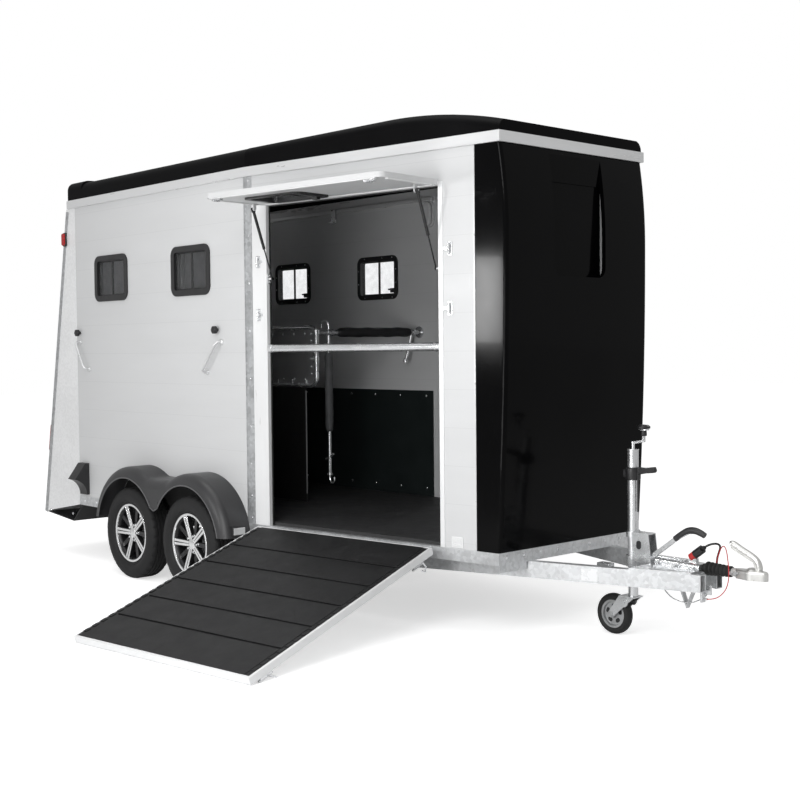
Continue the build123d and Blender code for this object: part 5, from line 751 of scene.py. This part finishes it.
for k in range(tab_count):
    x = RAMP_START + RAMP_EDGE + (k + 0.5) * mat_length / tab_count
    for way in (-1, 1):
        mat.box(RAMP, (x, way * (mat_width / 2 + 0.014), FRAME_TOP + 0.003), (0.034, 0.026, 0.006))
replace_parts(mat.piece("ramp_mat_strips", "mat", "side_ramp", "ramp_rubber", bevel=0.0014), "ramp_mat")

# Ramp catches: pins in their blocks, levers at the foot and hooks at the hinge
FOOT_LEVER = [(1.345, 0.64, -0.017), (1.34, 0.69, -0.02), (1.352, 0.73, -0.012), (1.35, 0.772, -0.01)]
HINGE_HOOK = [(0.11, 0.69, -0.016), (0.118, 0.715, -0.04), (0.136, 0.72, -0.058), (0.15, 0.712, -0.046)]
ramp_iron = Shape()
for x in (0.15, 1.35):
    for way in (-1, 1):
        y = way * (RAMP_WIDTH / 2 - 0.01)
        ramp_iron.box(RAMP, (x, y, -0.018), (0.08, 0.02, 0.012))
        ramp_iron.pin(turned(RAMP, (x - 0.05, y, -0.026), 1, "Y"), 0.006, 0.1, 12)
for way in (-1, 1):
    for line, radius in ((FOOT_LEVER, 0.0055), (HINGE_HOOK, 0.005)):
        ramp_iron.tube([RAMP @ Vector((x, way * y, z)) for x, y, z in line], radius)
ramp_iron.piece("ramp_catches", "plated", "side_ramp", "bar_metal", bevel=0.002)

# Ramp border: pale strips on the frame's face, sides and foot
STRIP = 0.002
STRIP_Z = FRAME_TOP + 0.0006
SIDE_Z = FRAME_TOP - 0.019
border = Shape()
for way in (-1, 1):
    strip_y = way * (RAMP_WIDTH - WHITE_EDGE) / 2
    border.box(RAMP, (face_mid, strip_y, STRIP_Z), (face_length, WHITE_EDGE, STRIP))
    border.box(RAMP, (face_mid, way * (RAMP_WIDTH / 2 + 0.0004), SIDE_Z), (face_length, STRIP, 0.04))
for x in (RAMP_START + WHITE_EDGE / 2, RAMP_LENGTH - WHITE_EDGE / 2):
    border.box(RAMP, (x, 0, STRIP_Z), (WHITE_EDGE, RAMP_WIDTH - 2 * WHITE_EDGE, STRIP))
border.box(RAMP, (RAMP_LENGTH + 0.0004, 0, SIDE_Z), (STRIP, RAMP_WIDTH, 0.036))
border.piece("ramp_border", "edge", "side_ramp", "ramp_white", bevel=0.0006)

# Inside: rails under the roof, their bracket, the wall lamp
INNER_Y = HALF_WIDTH - WALL
RAIL_Z = up(2.655)
BRACKET_X = -4.2
rails = Shape().box(WORLD, (-4.19, -INNER_Y + 0.014, RAIL_Z), (2.16, 0.028, 0.03))
rails.mirrored()
inner_taper = TAPER_WALL @ Matrix.Translation((0, 0, -WALL))
rails.box(MIRROR @ inner_taper, (0.9, RAIL_Z, -0.014), (1.74, 0.03, 0.028))
rails.piece("roof_rails", "band", slot="pale_aluminium", bevel=0.003)
bracket = Shape().box(WORLD, (BRACKET_X, INNER_Y - 0.034, up(2.615)), (0.05, 0.01, 0.11))
bracket.box(WORLD, (BRACKET_X, INNER_Y - 0.05, up(2.57)), (0.05, 0.036, 0.01))
bracket.piece("rail_bracket", "plated", slot="bar_metal", bevel=0.002)
lamp_seat = plane((-3.15, INNER_Y, up(2.55)), (-1, 0, 0), (0, -1, 0))
lamp_base = Shape().prism(lamp_seat, rounded_outline(0.092, 0.19, 0.045, 8), 0, 0.014)
lamp_base.piece("wall_lamp_base", "band", slot="pale_aluminium", bevel=0.003)
lamp_lens = Shape().prism(lamp_seat, rounded_outline(0.076, 0.172, 0.037, 8), 0.014, 0.042)
lamp_lens.piece("wall_lamp_lens", "clear", slot="clear_lens", bevel=0.012, segments=4)

# Divider and kick panels: rivets and clips
DIVIDER_X = -3.457
RIVET = (0.006, 0.006)
divider = sideways(DIVIDER_X, -0.006, 0)
rivets = Shape()
for height in (1.69, 1.64, 1.46, 1.41):
    rivets.bolt(divider, (-0.05, up(height), 0), *RIVET)
for k in range(12):
    for height in (1.692, 1.372):
        rivets.bolt(divider, (-0.12 - 0.125 * k, up(height), 0), *RIVET)
for k in range(8):
    for height in (1.235, 0.56):
        for way in (-1, 1):
            seat = sideways(-3.2 - 0.28 * k, way * (INNER_Y - 0.006), up(height), -way)
            rivets.bolt(seat, ORIGIN, 0.006, 0.004)
rivets.piece("divider_rivets", "plated", slot="bar_metal")
clips = Shape()
for k in range(4):
    clips.box(WORLD, (-3.56 - 0.16 * k, -0.012, up(1.345)), (0.014, 0.012, 0.048))
clips.box(WORLD, (DIVIDER_X, -0.022, up(1.56)), (0.03, 0.016, 0.012))
clips.piece("skirt_clips", "plated", slot="bar_metal", bevel=0.002)

# Divider: bright tube loop round the panel, collars and skirt edge
LOOP_REAR = -5.15
LOOP_TOP = up(1.734)
LOOP_LOW = up(1.328)
LOOP_CORNER = 0.06
LOOP_RADIUS = 0.0178
COLLAR_SEAT = 0.018
SKIRT_EDGE_X = -3.5795
corner_x = DIVIDER_X - LOOP_CORNER
loop = [(LOOP_REAR, 0, LOOP_TOP)]
loop += [(corner_x + a, 0, LOOP_TOP - LOOP_CORNER + b) for a, b in arc_points(LOOP_CORNER, 90, 0, 8)]
loop += [(corner_x + a, 0, LOOP_LOW + LOOP_CORNER + b) for a, b in arc_points(LOOP_CORNER, 0, -90, 8)]
loop.append((LOOP_REAR, 0, LOOP_LOW))
Shape().tube(loop, LOOP_RADIUS, 20).piece("divider_loop", "tube", slot="partition_metal")
collar = Shape()
for height, radius, length in ((1.5, 0.0235, 0.035), (1.688, 0.0245, 0.031)):
    profile = [(COLLAR_SEAT, 0), (radius, 0.001), (radius, length - 0.001), (COLLAR_SEAT, length)]
    collar.lathe(upright(DIVIDER_X, 0, up(height)), profile, 24)
collar.tube([(DIVIDER_X, 0, up(1.517)), (DIVIDER_X - 0.005, -0.052, up(1.517))], 0.007)
collar.piece("divider_collars", "plated", slot="bar_metal")
edge = [(SKIRT_EDGE_X, 0, up(height)) for height in (0.56, 0.8, 1.29)]
Shape().tube(edge, 0.005, 10).piece("skirt_edge", "divider", slot="rubber_skirt")

# Padded sleeves on the two bars, with gathered ends
BAR_Z = up(1.7)
BAR_START = Vector((-3.463, 0.0205, BAR_Z))
BAR_END = Vector((-3.27, INNER_Y - 0.006, BAR_Z))
BAR_DIR = (BAR_END - BAR_START).normalized()
HANG = BAR_START + BAR_DIR * 0.082
SLEEVE_RADIUS = 0.0345
SLEEVE_RINGS = 40
SLEEVE_STEPS = 32
END_PULL = 0.32
END_LENGTH = 0.013
SEAM_WIDTH = 0.1
SEAM_DEPTH = 0.0022
GATHERS = ((0.0011, 5, 17), (0.0012, 3, -29))


def pad_sleeve(at, length, inner, flats):
    """Sleeve with soft ends, a seam and shallow gathers."""
    made = Shape()
    rings = SLEEVE_RINGS
    steps = SLEEVE_STEPS
    verts = []
    for ring in range(rings + 1):
        share = ring / rings
        end = min(share, 1 - share) * length
        swell = 1 - END_PULL * math.exp(-end / END_LENGTH)
        for step in range(steps):
            turn = 2 * math.pi * step / steps
            wave = sum(size * math.sin(count * turn + twist * share) for size, count, twist in GATHERS)
            seam = -SEAM_DEPTH * math.exp(-((turn - math.pi / 2) / SEAM_WIDTH) ** 2)
            reach = SLEEVE_RADIUS * swell * (1 - flats * math.cos(2 * turn)) + wave + seam
            verts.append(at @ polar(reach, turn, share * length))
    caps = len(verts)
    top = rings * steps
    for height in (0, length):
        for step in range(steps):
            turn = 2 * math.pi * step / steps
            verts.append(at @ polar(inner, turn, height))
    faces = []
    for s in range(steps):
        after = (s + 1) % steps
        for low in range(0, top, steps):
            faces.append((low + s, low + after, low + steps + after, low + steps + s))
        faces.append((s, after, caps + after, caps + s))
        faces.append((top + s, top + after, caps + steps + after, caps + steps + s))
        faces.append((caps + s, caps + after, caps + steps + after, caps + steps + s))
    return made.add(verts, faces)


level_sleeve = pad_sleeve(plane(BAR_START + BAR_DIR * 0.152, (0, 0, 1), BAR_DIR), 0.59, 0.018, 0.03)
sleeve = level_sleeve.piece("bar_sleeve", "pad", slot="black_pad", angle=60)
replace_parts(sleeve, "bar_pads")
slack_sleeve = pad_sleeve(plane((HANG.x, HANG.y, up(1.002)), (0.7, 0.7, 0), (0, 0, 1)), 0.556, 0.013, 0.22)
hanging = slack_sleeve.piece("hanging_sleeve", "strap", slot="black_pad", angle=60)
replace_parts(hanging, "bar_pads")

# Bar fittings: collars, upper hook, release lever, lower hook with its cross handle
BAR_SEAT = 0.0172
HANG_FOOT = Vector((HANG.x, HANG.y, up(0.694)))
RELEASE = BAR_END + Vector((-0.03, -0.055, -0.02))
START_COLLAR = [
    (BAR_SEAT, 0), (0.024, 0.002), (0.024, 0.014), (0.0205, 0.018), (0.0205, 0.046), (BAR_SEAT, 0.048),
]
END_COLLAR = [(BAR_SEAT, 0), (0.026, 0.002), (0.026, 0.02), (BAR_SEAT, 0.022)]
RELEASE_KNOB = [(0, 0), (0.016, 0.003), (0.018, 0.018), (0.01, 0.036), (0, 0.038)]
UPPER_HOOK = [
    (0, 0, 0.016), (0, 0, 0.052), (-0.018, -0.006, 0.078), (-0.046, -0.01, 0.08), (-0.066, -0.01, 0.06),
    (-0.064, -0.01, 0.034),
]
LOWER_HOOK = [(0, 0, 0.01), (0, 0, -0.03), (0.022, 0, -0.056), (0.046, 0, -0.04), (0.044, 0, -0.012)]
CROSS_HANDLE = [(-0.046, 0, 0.11), (0.006, 0, 0.128), (0.038, 0, 0.15)]
RELEASE_LEVER = [(0, 0, 0), (-0.01, -0.008, -0.09), (-0.04, -0.014, -0.175)]
fittings = Shape()
fittings.lathe(plane(BAR_START + BAR_DIR * 0.1, (0, 0, 1), BAR_DIR), START_COLLAR, 24)
fittings.lathe(plane(BAR_END - BAR_DIR * 0.06, (0, 0, 1), BAR_DIR), END_COLLAR, 24)
fittings.tube(smooth_path([HANG + Vector(p) for p in UPPER_HOOK]), 0.0055)
fittings.tube([RELEASE + Vector(p) for p in RELEASE_LEVER], 0.01)
fittings.lathe(upright(*(RELEASE + Vector((-0.044, -0.015, -0.205)))), RELEASE_KNOB, 16)
fittings.tube(smooth_path([HANG_FOOT + Vector(p) for p in LOWER_HOOK]), 0.0065)
fittings.tube([HANG_FOOT + Vector(p) for p in CROSS_HANDLE], 0.008)
fittings.piece("bar_fittings", "plated", slot="bar_metal")
BAR_CUP = [(0.0242, 0.0005), (0.0262, 0.001), (0.0262, 0.034), (0.0242, 0.036)]
end_caps = Shape()
for along, way in zip(POST_EDGES, (1, -1)):
    end_caps.lathe(turned(TAPER_WALL, (along, up(1.59), -0.015), way, "Y"), BAR_CUP, 28)
end_caps.piece("door_bar_cups", "plated", slot="bar_metal", bevel=0.0008)

# Outside walls: rosettes at the ends of the grips
ROSETTE = [(0.0092, 0.0002), (0.019, 0.0004), (0.019, 0.006), (0.013, 0.012), (0.0092, 0.013)]
rosettes = Shape()
for x, height in ((-3.377, 1.635), (-3.543, 1.439), (-5.247, 1.654), (-5.117, 1.45)):
    rosettes.lathe(sideways(x, -HALF_WIDTH, up(height)), ROSETTE, 24)
rosettes.mirrored().piece("grip_rosettes", "grip", slot="grip_metal")

# Chassis: bolts along rails, apron and strips
RAIL_MID = (RAIL_TOP + RAIL_BOTTOM) / 2
STRIP_MID = 0.03
bolts = Shape()
side_rail = sideways(0, -HALF_WIDTH - 0.004, 0)
for x in (-5.22, -5.05, -4.85, -4.7, -3.02):
    bolts.bolt(side_rail, (x, RAIL_MID, 0), 0.009, 0.008)
strip_place = (KINK_X + STRIP_MID * ALONG.x, -HALF_WIDTH - 0.0033 + STRIP_MID * ALONG.y, 0)
for height in (0.52, 0.66, 0.86, 1.1, 1.4, 1.7, 2.0, 2.3, 2.55, 2.64):
    bolts.bolt(plane(strip_place, ALONG, OUT), (0, up(height), 0), 0.006, 0.005)
front_rail = plane((-1.15, 0, 0), (0, 1, 0), (1, 0, 0))
for y in (-0.56, -0.42, -0.28, -0.14):
    bolts.bolt(front_rail, (y, RAIL_MID + 0.006, 0), 0.009, 0.008)
foot = REAR_WALL @ Vector((HALF_WIDTH - 0.03, 0, 0))
for k in range(2):
    bolts.bolt(sideways(foot.x + 0.1 + 0.36 * k, -HALF_WIDTH, foot.z + 0.018), ORIGIN, 0.007, 0.006)
bolts.mirrored()
for k in range(9):
    bolts.bolt(REAR_WALL, (-0.72 + 0.18 * k, 0.012, 0), 0.008, 0.007)
bolts.piece("frame_bolts", "plated", slot="bar_metal")

# Rear doors: locking bars with their guides and handles
LOCK_X = 0.7
locks = Shape()
for way in (-1, 1):
    x = way * LOCK_X
    locks.pin(turned(REAR_WALL, (x, 0.2, 0.03), -1, "X"), 0.01, 1.042, 16, 0.002)
    for y in (0.24, 0.7, 1.18):
        locks.box(REAR_WALL, (x, y, 0.014), (0.07, 0.036, 0.028))
    locks.box(REAR_WALL, (x, 1.36, 0.012), (0.05, 0.1, 0.024))
    locks.box(REAR_WALL, (x, 1.33, 0.034), (0.02, 0.12, 0.014))
locks.piece("rear_lock_bars", "plated", "rear_ramp", "bar_metal", bevel=0.003)

# Lamps: black bases
lamp_bases = Shape().box(WORLD, (-3.0795, -0.952, up(0.442)), (0.03, 0.094, 0.054))
lamp_bases.mirrored().piece("marker_bases", "trim", slot="black_trim", bevel=0.003)
LAMP_UP = (up(0.9) - up(REAR_FOOT[1])) / math.cos(REAR_TILT)
lamp_frames = Shape()
for way in (-1, 1):
    x = way * (HALF_WIDTH - 0.029)
    outline = [(x + a, LAMP_UP + b) for a, b in rounded_outline(0.054, 0.22, 0.012)]
    lamp_frames.prism(REAR_WALL, outline, 0, 0.012)
lamp_frames.piece("tail_lamp_bases", "trim", slot="black_trim", bevel=0.002)

# Rear edge: grey posts on both sides, side clusters near the top
SLOPE_LENGTH = (up(2.651) - up(REAR_FOOT[1])) / math.cos(REAR_TILT)
CLUSTER_BASE = 0.012
edges = Shape()
for way in (-1, 1):
    place = (way * (HALF_WIDTH + 0.0008), SLOPE_LENGTH / 2, -0.0225)
    edges.box(REAR_WALL, place, (0.0036, SLOPE_LENGTH, 0.045))
edges.piece("rear_edge_posts", "strip", slot="frame_grey", bevel=0.001)
for look, size, low, high, slot_name in (("trim", (0.052, 0.104), 0, CLUSTER_BASE, "black_trim"),
                                         ("red_lens", (0.04, 0.09), CLUSTER_BASE, 0.026, "red_lens")):
    cluster = Shape()
    for way in (-1, 1):
        seat = plane((-5.452, way * (HALF_WIDTH + 0.002), up(2.44)), (1, 0, 0), (0, way, 0))
        cluster.prism(seat, rounded_outline(*size, 0.012), low, high)
    cluster.piece(f"side_cluster_{look}", look, slot=slot_name, bevel=0.003)

# Mudguards: rolled lip round both openings, wall liners, and a seam on each shoulder
LIP_Y = -1.061
LIP_OFFSET = 0.003
GUARD_OPENING = 0.384
GUARD_RADIUS = 0.462
GUARD_SHOULDER = 0.066
LINER_RADIUS = 0.452
SEAM_TURN = 52
MID_X = (WHEEL_X["front"] + WHEEL_X["rear"]) / 2
NOTCH = (0.05, up(0.529))
PEAK = up(0.506)


def two_arches(radius, rear_angles, front_angles, steps, between=()):
    """(x, z) points round the rear wheel's arch, between the arches, and round the front one's."""
    rear = [(WHEEL_X["rear"] + a, HUB_Z + b) for a, b in arc_points(radius, *rear_angles, steps)]
    front = [(WHEEL_X["front"] + a, HUB_Z + b) for a, b in arc_points(radius, *front_angles, steps)]
    return rear + list(between) + front


notch = ((MID_X - NOTCH[0], NOTCH[1]), (MID_X, PEAK), (MID_X + NOTCH[0], NOTCH[1]))
lip = two_arches(GUARD_OPENING + LIP_OFFSET, (167.5, 33.6), (146.4, 12.5), 24, notch)
# The lip tube takes the lighter lip look, a painted highlight along the rolled edge
lips = Shape().tube([(x, LIP_Y, z) for x, z in lip], 0.0046, 10)
lips.mirrored().piece("guard_lips", "lip", slot="guard_plastic")
liner = two_arches(LINER_RADIUS, (158.7, 58.0), (122.0, 21.3), 16)
liners = Shape().prism(RIGHT_WALL, [(x - REAR_X, z) for x, z in liner], 0.0002, 0.003)
liners.mirrored().piece("wheel_liners", "rubber", slot="guard_plastic")
seams = Shape()
for part, hub_x in ((-1, WHEEL_X["rear"]), (1, WHEEL_X["front"])):
    turn = math.radians(90 + part * SEAM_TURN)
    arc = []
    for a, b in arc_points(GUARD_SHOULDER, 0, 90, 12):
        reach = GUARD_RADIUS - GUARD_SHOULDER + b
        y = LIP_Y + GUARD_SHOULDER - a
        arc.append((hub_x + reach * math.cos(turn), y, HUB_Z + reach * math.sin(turn)))
    seams.tube(arc, 0.003, 8)
seams.mirrored().piece("guard_seams", "trim", slot="guard_plastic")

# Knob heads over the tie knobs
KNOB_HEAD = [
    (0, 0), (0.013, 0), (0.013, 0.012), (0.024, 0.015), (0.0285, 0.021), (0.0285, 0.034), (0.024, 0.0395),
    (0.01, 0.041), (0, 0.041),
]
knobs = Shape()
for x, height in ((-3.42, 1.714), (-5.25, 1.722)):
    knobs.lathe(sideways(x, -HALF_WIDTH, up(height)), KNOB_HEAD, 6)
knob_heads = knobs.mirrored().piece("tie_knob_heads", "trim", slot="black_trim", bevel=0.003)
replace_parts(knob_heads, "tie_knobs")

# Drawbar: blank plate, small box, bolts, brake rod and cable ear
BEAM_ANGLE = math.radians(17.35)
PLATE_X = -0.812
plate_y = -(0.1 + (-0.24 - PLATE_X) * math.tan(BEAM_ANGLE)) - 0.0002
beam_side = plane((PLATE_X, plate_y, RAIL_BOTTOM - 0.046), (math.cos(BEAM_ANGLE), math.sin(BEAM_ANGLE), 0),
                  (math.sin(BEAM_ANGLE), -math.cos(BEAM_ANGLE), 0))
plate = Shape().prism(beam_side, rounded_outline(0.092, 0.066, 0.004, 3), 0, 0.0015)
plate.piece("blank_type_plate", "blank", slot="bar_metal")
iron = Shape().box(WORLD, (-0.821, -0.13, up(0.385)), (0.08, 0.05, 0.058))
for x in (-0.54, -0.43, -0.32):
    for y in (0.062, -0.062):
        iron.bolt(WORLD, (x, y, RAIL_BOTTOM + 0.016), 0.008, 0.01)
for x, z in ((-0.52, 0.012), (-0.4, 0.01)):
    iron.bolt(sideways(x, -0.046, z), ORIGIN, 0.008, 0.007)
iron.box(WORLD, (-0.478, 0, 0.0345), (0.18, 0.03, 0.008))
iron.piece("drawbar_fittings", "plated", slot="galvanised", bevel=0.0025)
BRAKE_ROD = [
    (-0.6, -0.018, up(0.372)), (-0.54, -0.022, up(0.318)), (-0.47, -0.026, up(0.262)),
    (-0.4, -0.028, up(0.246)), (-0.33, -0.028, up(0.254)), (-0.262, -0.026, up(0.29)),
    (-0.236, -0.022, up(0.33)),
]
Shape().tube(smooth_path(BRAKE_ROD), 0.0032, 8).piece("brake_rod", "drum", slot="galvanised")
ear = Shape().box(WORLD, (-0.236, -0.03, up(0.33)), (0.034, 0.01, 0.05))
ear.box(WORLD, (-0.262, -0.044, up(0.3)), (0.012, 0.034, 0.07))
ear.piece("cable_ear", "plated", slot="galvanised", bevel=0.002)

# Jockey wheel bracket: flat dark ovals standing for its holes, painted shade, and the fork pivots
FORK_PIVOT = [(0, 0), (0.027, 0), (0.0275, 0.003), (0.01, 0.0034), (0.01, 0.0085), (0, 0.009)]
hole_painted_shades = Shape()
pivots = Shape()
for way in (-1, 1):
    hole_painted_shades.prism(sideways(-0.672, way * 0.0352, up(0.515), way), rounded_outline(0.03, 0.046, 0.014, 5),
                -0.0006, 0.0012)
    pivots.lathe(sideways(-0.768, way * 0.0402, up(0.192), way), FORK_PIVOT, 24)
# Dark ovals on the bracket plates: painted shade of the holes
hole_painted_shades.piece("bracket_hole_painted_shades", "trim", slot="galvanised")
pivots.piece("fork_pivots", "plated", "jockey_leg", "jockey_zinc", bevel=0.0008)

# Coupling: rounded handle and side bolts
HANDLE = [
    (0.04, 0, 0.034), (0.034, 0, 0.06), (0.018, 0, 0.082), (-0.012, 0, 0.1), (-0.06, 0, 0.122),
    (-0.108, 0, 0.146), (-0.124, 0, 0.144),
]
HANDLE_BASE = [(0, 0), (0.036, 0), (0.034, 0.01), (0.022, 0.02), (0, 0.024)]
COUPLING_BOLT = [(0, -0.006), (0.012, -0.006), (0.012, 0.004), (0.0095, 0.0045), (0.0095, 0.011), (0, 0.012)]
grip_line = smooth_path(HANDLE)
handle = Shape().tube(grip_line, [0.0175] * (len(grip_line) - 3) + [0.016, 0.013, 0.006], 16)
handle.lathe(upright(0, 0, 0.018), HANDLE_BASE, 32)
handle.piece("coupling_handle", "cast", slot="coupling_zinc")
coupling_bolts = Shape()
for x, y in ((-0.078, 0.03), (-0.104, 0.0275)):
    for way in (-1, 1):
        coupling_bolts.lathe(plane((x, way * y, 0.004), (way, 0, 0), (0, way, 0)), COUPLING_BOLT, 6)
coupling_bolts.piece("coupling_bolts", "drum", slot="coupling_zinc", bevel=0.0006)

# Handbrake grip: thickest in its middle
LEVER_Y = -0.014
LEVER_GRIP = [
    (-0.452, LEVER_Y, 0.139), (-0.41, LEVER_Y, 0.168), (-0.372, LEVER_Y, 0.189), (-0.33, LEVER_Y, 0.194),
    (-0.292, LEVER_Y, 0.184), (-0.27, LEVER_Y, 0.174),
]
lever_line = smooth_path(LEVER_GRIP)
lever_radii = [0.0185 - 0.003 * abs(2 * i / len(lever_line) - 1) for i in range(len(lever_line))]
Shape().tube(lever_line, lever_radii, 18).piece("lever_grip", "guard", slot="lever_zinc")

# Jockey wheel: clamp with its lever, lock rod, crank knob, axle nuts, and flat dark patches on the disc as
# painted shade of its pockets
JOCKEY_X = -0.734
JOCKEY_AXLE = (-0.859, up(0.1125))
CLAMP = [
    (0.0302, up(0.86)), (0.04, up(0.861)), (0.0415, up(0.868)), (0.0415, up(0.921)), (0.04, up(0.928)),
    (0.0302, up(0.929)),
]
CLAMP_LEVER = [
    (0.03, up(0.888)), (0.09, up(0.9)), (0.142, up(0.906)), (0.15, up(0.916)), (0.142, up(0.938)),
    (0.086, up(0.93)), (0.03, up(0.93)),
]
CRANK_KNOB = [
    (0, 0), (0.015, 0.001), (0.0165, 0.008), (0.0145, 0.03), (0.022, 0.036), (0.0345, 0.042),
    (0.0345, 0.052), (0.026, 0.06), (0, 0.0625),
]
AXLE_NUT = [(0, 0), (0.017, 0), (0.017, 0.004), (0.0125, 0.0045), (0.0125, 0.0085), (0, 0.009)]
clamp = Shape().lathe(upright(JOCKEY_X, 0, 0), CLAMP, 36)
clamp.prism(sideways(JOCKEY_X, -0.0145, 0), CLAMP_LEVER, -0.029, 0)
clamp.box(WORLD, (JOCKEY_X - 0.046, 0, up(0.893)), (0.026, 0.03, 0.044))
clamp.piece("jockey_clamp", "trim", slot="black_trim", bevel=0.004)
lock_rod = Shape().tube([(JOCKEY_X + 0.042, -0.012, up(height)) for height in (0.9, 0.69)], 0.0055)
lock_rod.piece("jockey_lock_rod", "trim", slot="black_trim")
knob = Shape().lathe(upright(JOCKEY_X + 0.072, 0, up(1.1)), CRANK_KNOB, 28)
knob.piece("crank_knob", "trim", slot="black_trim")
hub_iron = Shape()
pocket_painted_shades = Shape()
for side in (-1, 1):
    hub_iron.lathe(sideways(JOCKEY_AXLE[0], side * 0.04, JOCKEY_AXLE[1], side), AXLE_NUT, 6)
    face = sideways(JOCKEY_AXLE[0], side * 0.0083, JOCKEY_AXLE[1], side)
    for k in range(5):
        turn = face @ Matrix.Rotation(math.radians(72 * k + 18), 4, "Z") @ Matrix.Translation((0.043, 0, 0))
        # Flat dark patch on the disc face: painted shade of a pocket
        pocket_painted_shades.prism(turn, rounded_outline(0.022, 0.03, 0.01, 5), -0.001, 0.0012)
hub_iron.piece("jockey_axle_nuts", "drum", "jockey_leg", "jockey_zinc", bevel=0.0006)
pocket_painted_shades.piece("jockey_wheel_pocket_painted_shades", "trim", "jockey_wheel", "jockey_disc", bevel=0.0006)

# Stage: pale floor, plain light, camera at the photograph's angle
FLOOR_Z = up(0)
FLOOR_REACH = 40
FLOOR_COLOR = (0.86, 0.86, 0.86, 1)
FLOOR_GLOW = 0.58
WORLD_LIGHT = 0.55
WHITE = (1, 1, 1, 1)
floor_mesh = bpy.data.meshes.new("stage_floor")
corners = [(x * FLOOR_REACH, y * FLOOR_REACH, FLOOR_Z) for x, y in ((-1, -1), (1, -1), (1, 1), (-1, 1))]
floor_mesh.from_pydata(corners, [], [(0, 1, 2, 3)])
placed("stage_floor", floor_mesh)
floor_look = bpy.data.materials.new("stage_floor")
tree = fresh_tree(floor_look)
paths = node(tree, "ShaderNodeLightPath")
diffuse = node(tree, "ShaderNodeBsdfDiffuse", {"Color": FLOOR_COLOR})
glow = node(tree, "ShaderNodeEmission", {"Color": WHITE, "Strength": FLOOR_GLOW})
both = node(tree, "ShaderNodeAddShader", {0: diffuse.outputs[0], 1: glow.outputs[0]})
mixed = node(tree, "ShaderNodeMixShader", {
    0: paths.outputs["Is Camera Ray"], 1: diffuse.outputs[0], 2: both.outputs[0]})
tree.links.new(mixed.outputs[0], node(tree, "ShaderNodeOutputMaterial").inputs[0])
floor_mesh.materials.append(floor_look)

world = bpy.data.worlds.new("studio")
bpy.context.scene.world = world
tree = fresh_tree(world)
paths = node(tree, "ShaderNodeLightPath")
soft = node(tree, "ShaderNodeBackground", {"Color": WHITE, "Strength": WORLD_LIGHT})
white = node(tree, "ShaderNodeBackground", {"Color": WHITE, "Strength": 1.0})
seen = maths(tree, "MAXIMUM", paths.outputs["Is Camera Ray"], paths.outputs["Is Transmission Ray"])
mixed = node(tree, "ShaderNodeMixShader", {0: seen, 1: soft.outputs[0], 2: white.outputs[0]})
tree.links.new(mixed.outputs[0], node(tree, "ShaderNodeOutputWorld").inputs[0])


def lamp(name, place, target, size, power):
    """Area lamp that looks at a target."""
    light = bpy.data.lights.new(name, "AREA")
    light.shape = "RECTANGLE"
    light.size = size[0]
    light.size_y = size[1]
    light.energy = power
    obj = placed(name, light)
    obj.location = place
    obj.rotation_euler = (Vector(target) - Vector(place)).to_track_quat("-Z", "Y").to_euler()


lamp("key", (1.0, -5.2, 4.2), (-1.8, -0.7, 1.2), (2.4, 2.4), 125)
lamp("top", (-3.0, -1.5, 6.5), (-3.0, 0, 0), (6.0, 3.0), 125)
lamp("door", (-0.6, -4.4, 0.9), (-3.0, 0.3, 1.0), (1.8, 1.8), 55)
lamp("gleam", (-3.75, -5.0, 1.6), (-1.25, -0.7, 1.6), (0.3, 0.8), 45)

CAMERA_PLACE = (3.4085, -5.5093, up(1.5841))
CAMERA_YAW = math.radians(47.465)
CAMERA_PITCH = math.radians(2.229)
CAMERA_ROLL = math.radians(-0.54)
LENS_MM = 56.46
SHIFT_Y = -0.00375
dip = math.cos(CAMERA_PITCH)
ahead = Vector((-math.sin(CAMERA_YAW) * dip, math.cos(CAMERA_YAW) * dip, -math.sin(CAMERA_PITCH)))
level = Vector((math.cos(CAMERA_YAW), math.sin(CAMERA_YAW), 0))
above = level.cross(ahead)
right = level * math.cos(CAMERA_ROLL) + above * math.sin(CAMERA_ROLL)
upward = above * math.cos(CAMERA_ROLL) - level * math.sin(CAMERA_ROLL)
camera_data = bpy.data.cameras.new("camera")
camera_data.lens = LENS_MM
camera_data.sensor_width = 36
camera_data.shift_y = SHIFT_Y
camera_data.clip_end = 200
camera = placed("camera", camera_data)
facing = Matrix((right, upward, -ahead)).transposed().to_4x4()
camera.matrix_world = Matrix.Translation(CAMERA_PLACE) @ facing
bpy.context.scene.camera = camera
bpy.context.scene.view_settings.view_transform = "Standard"
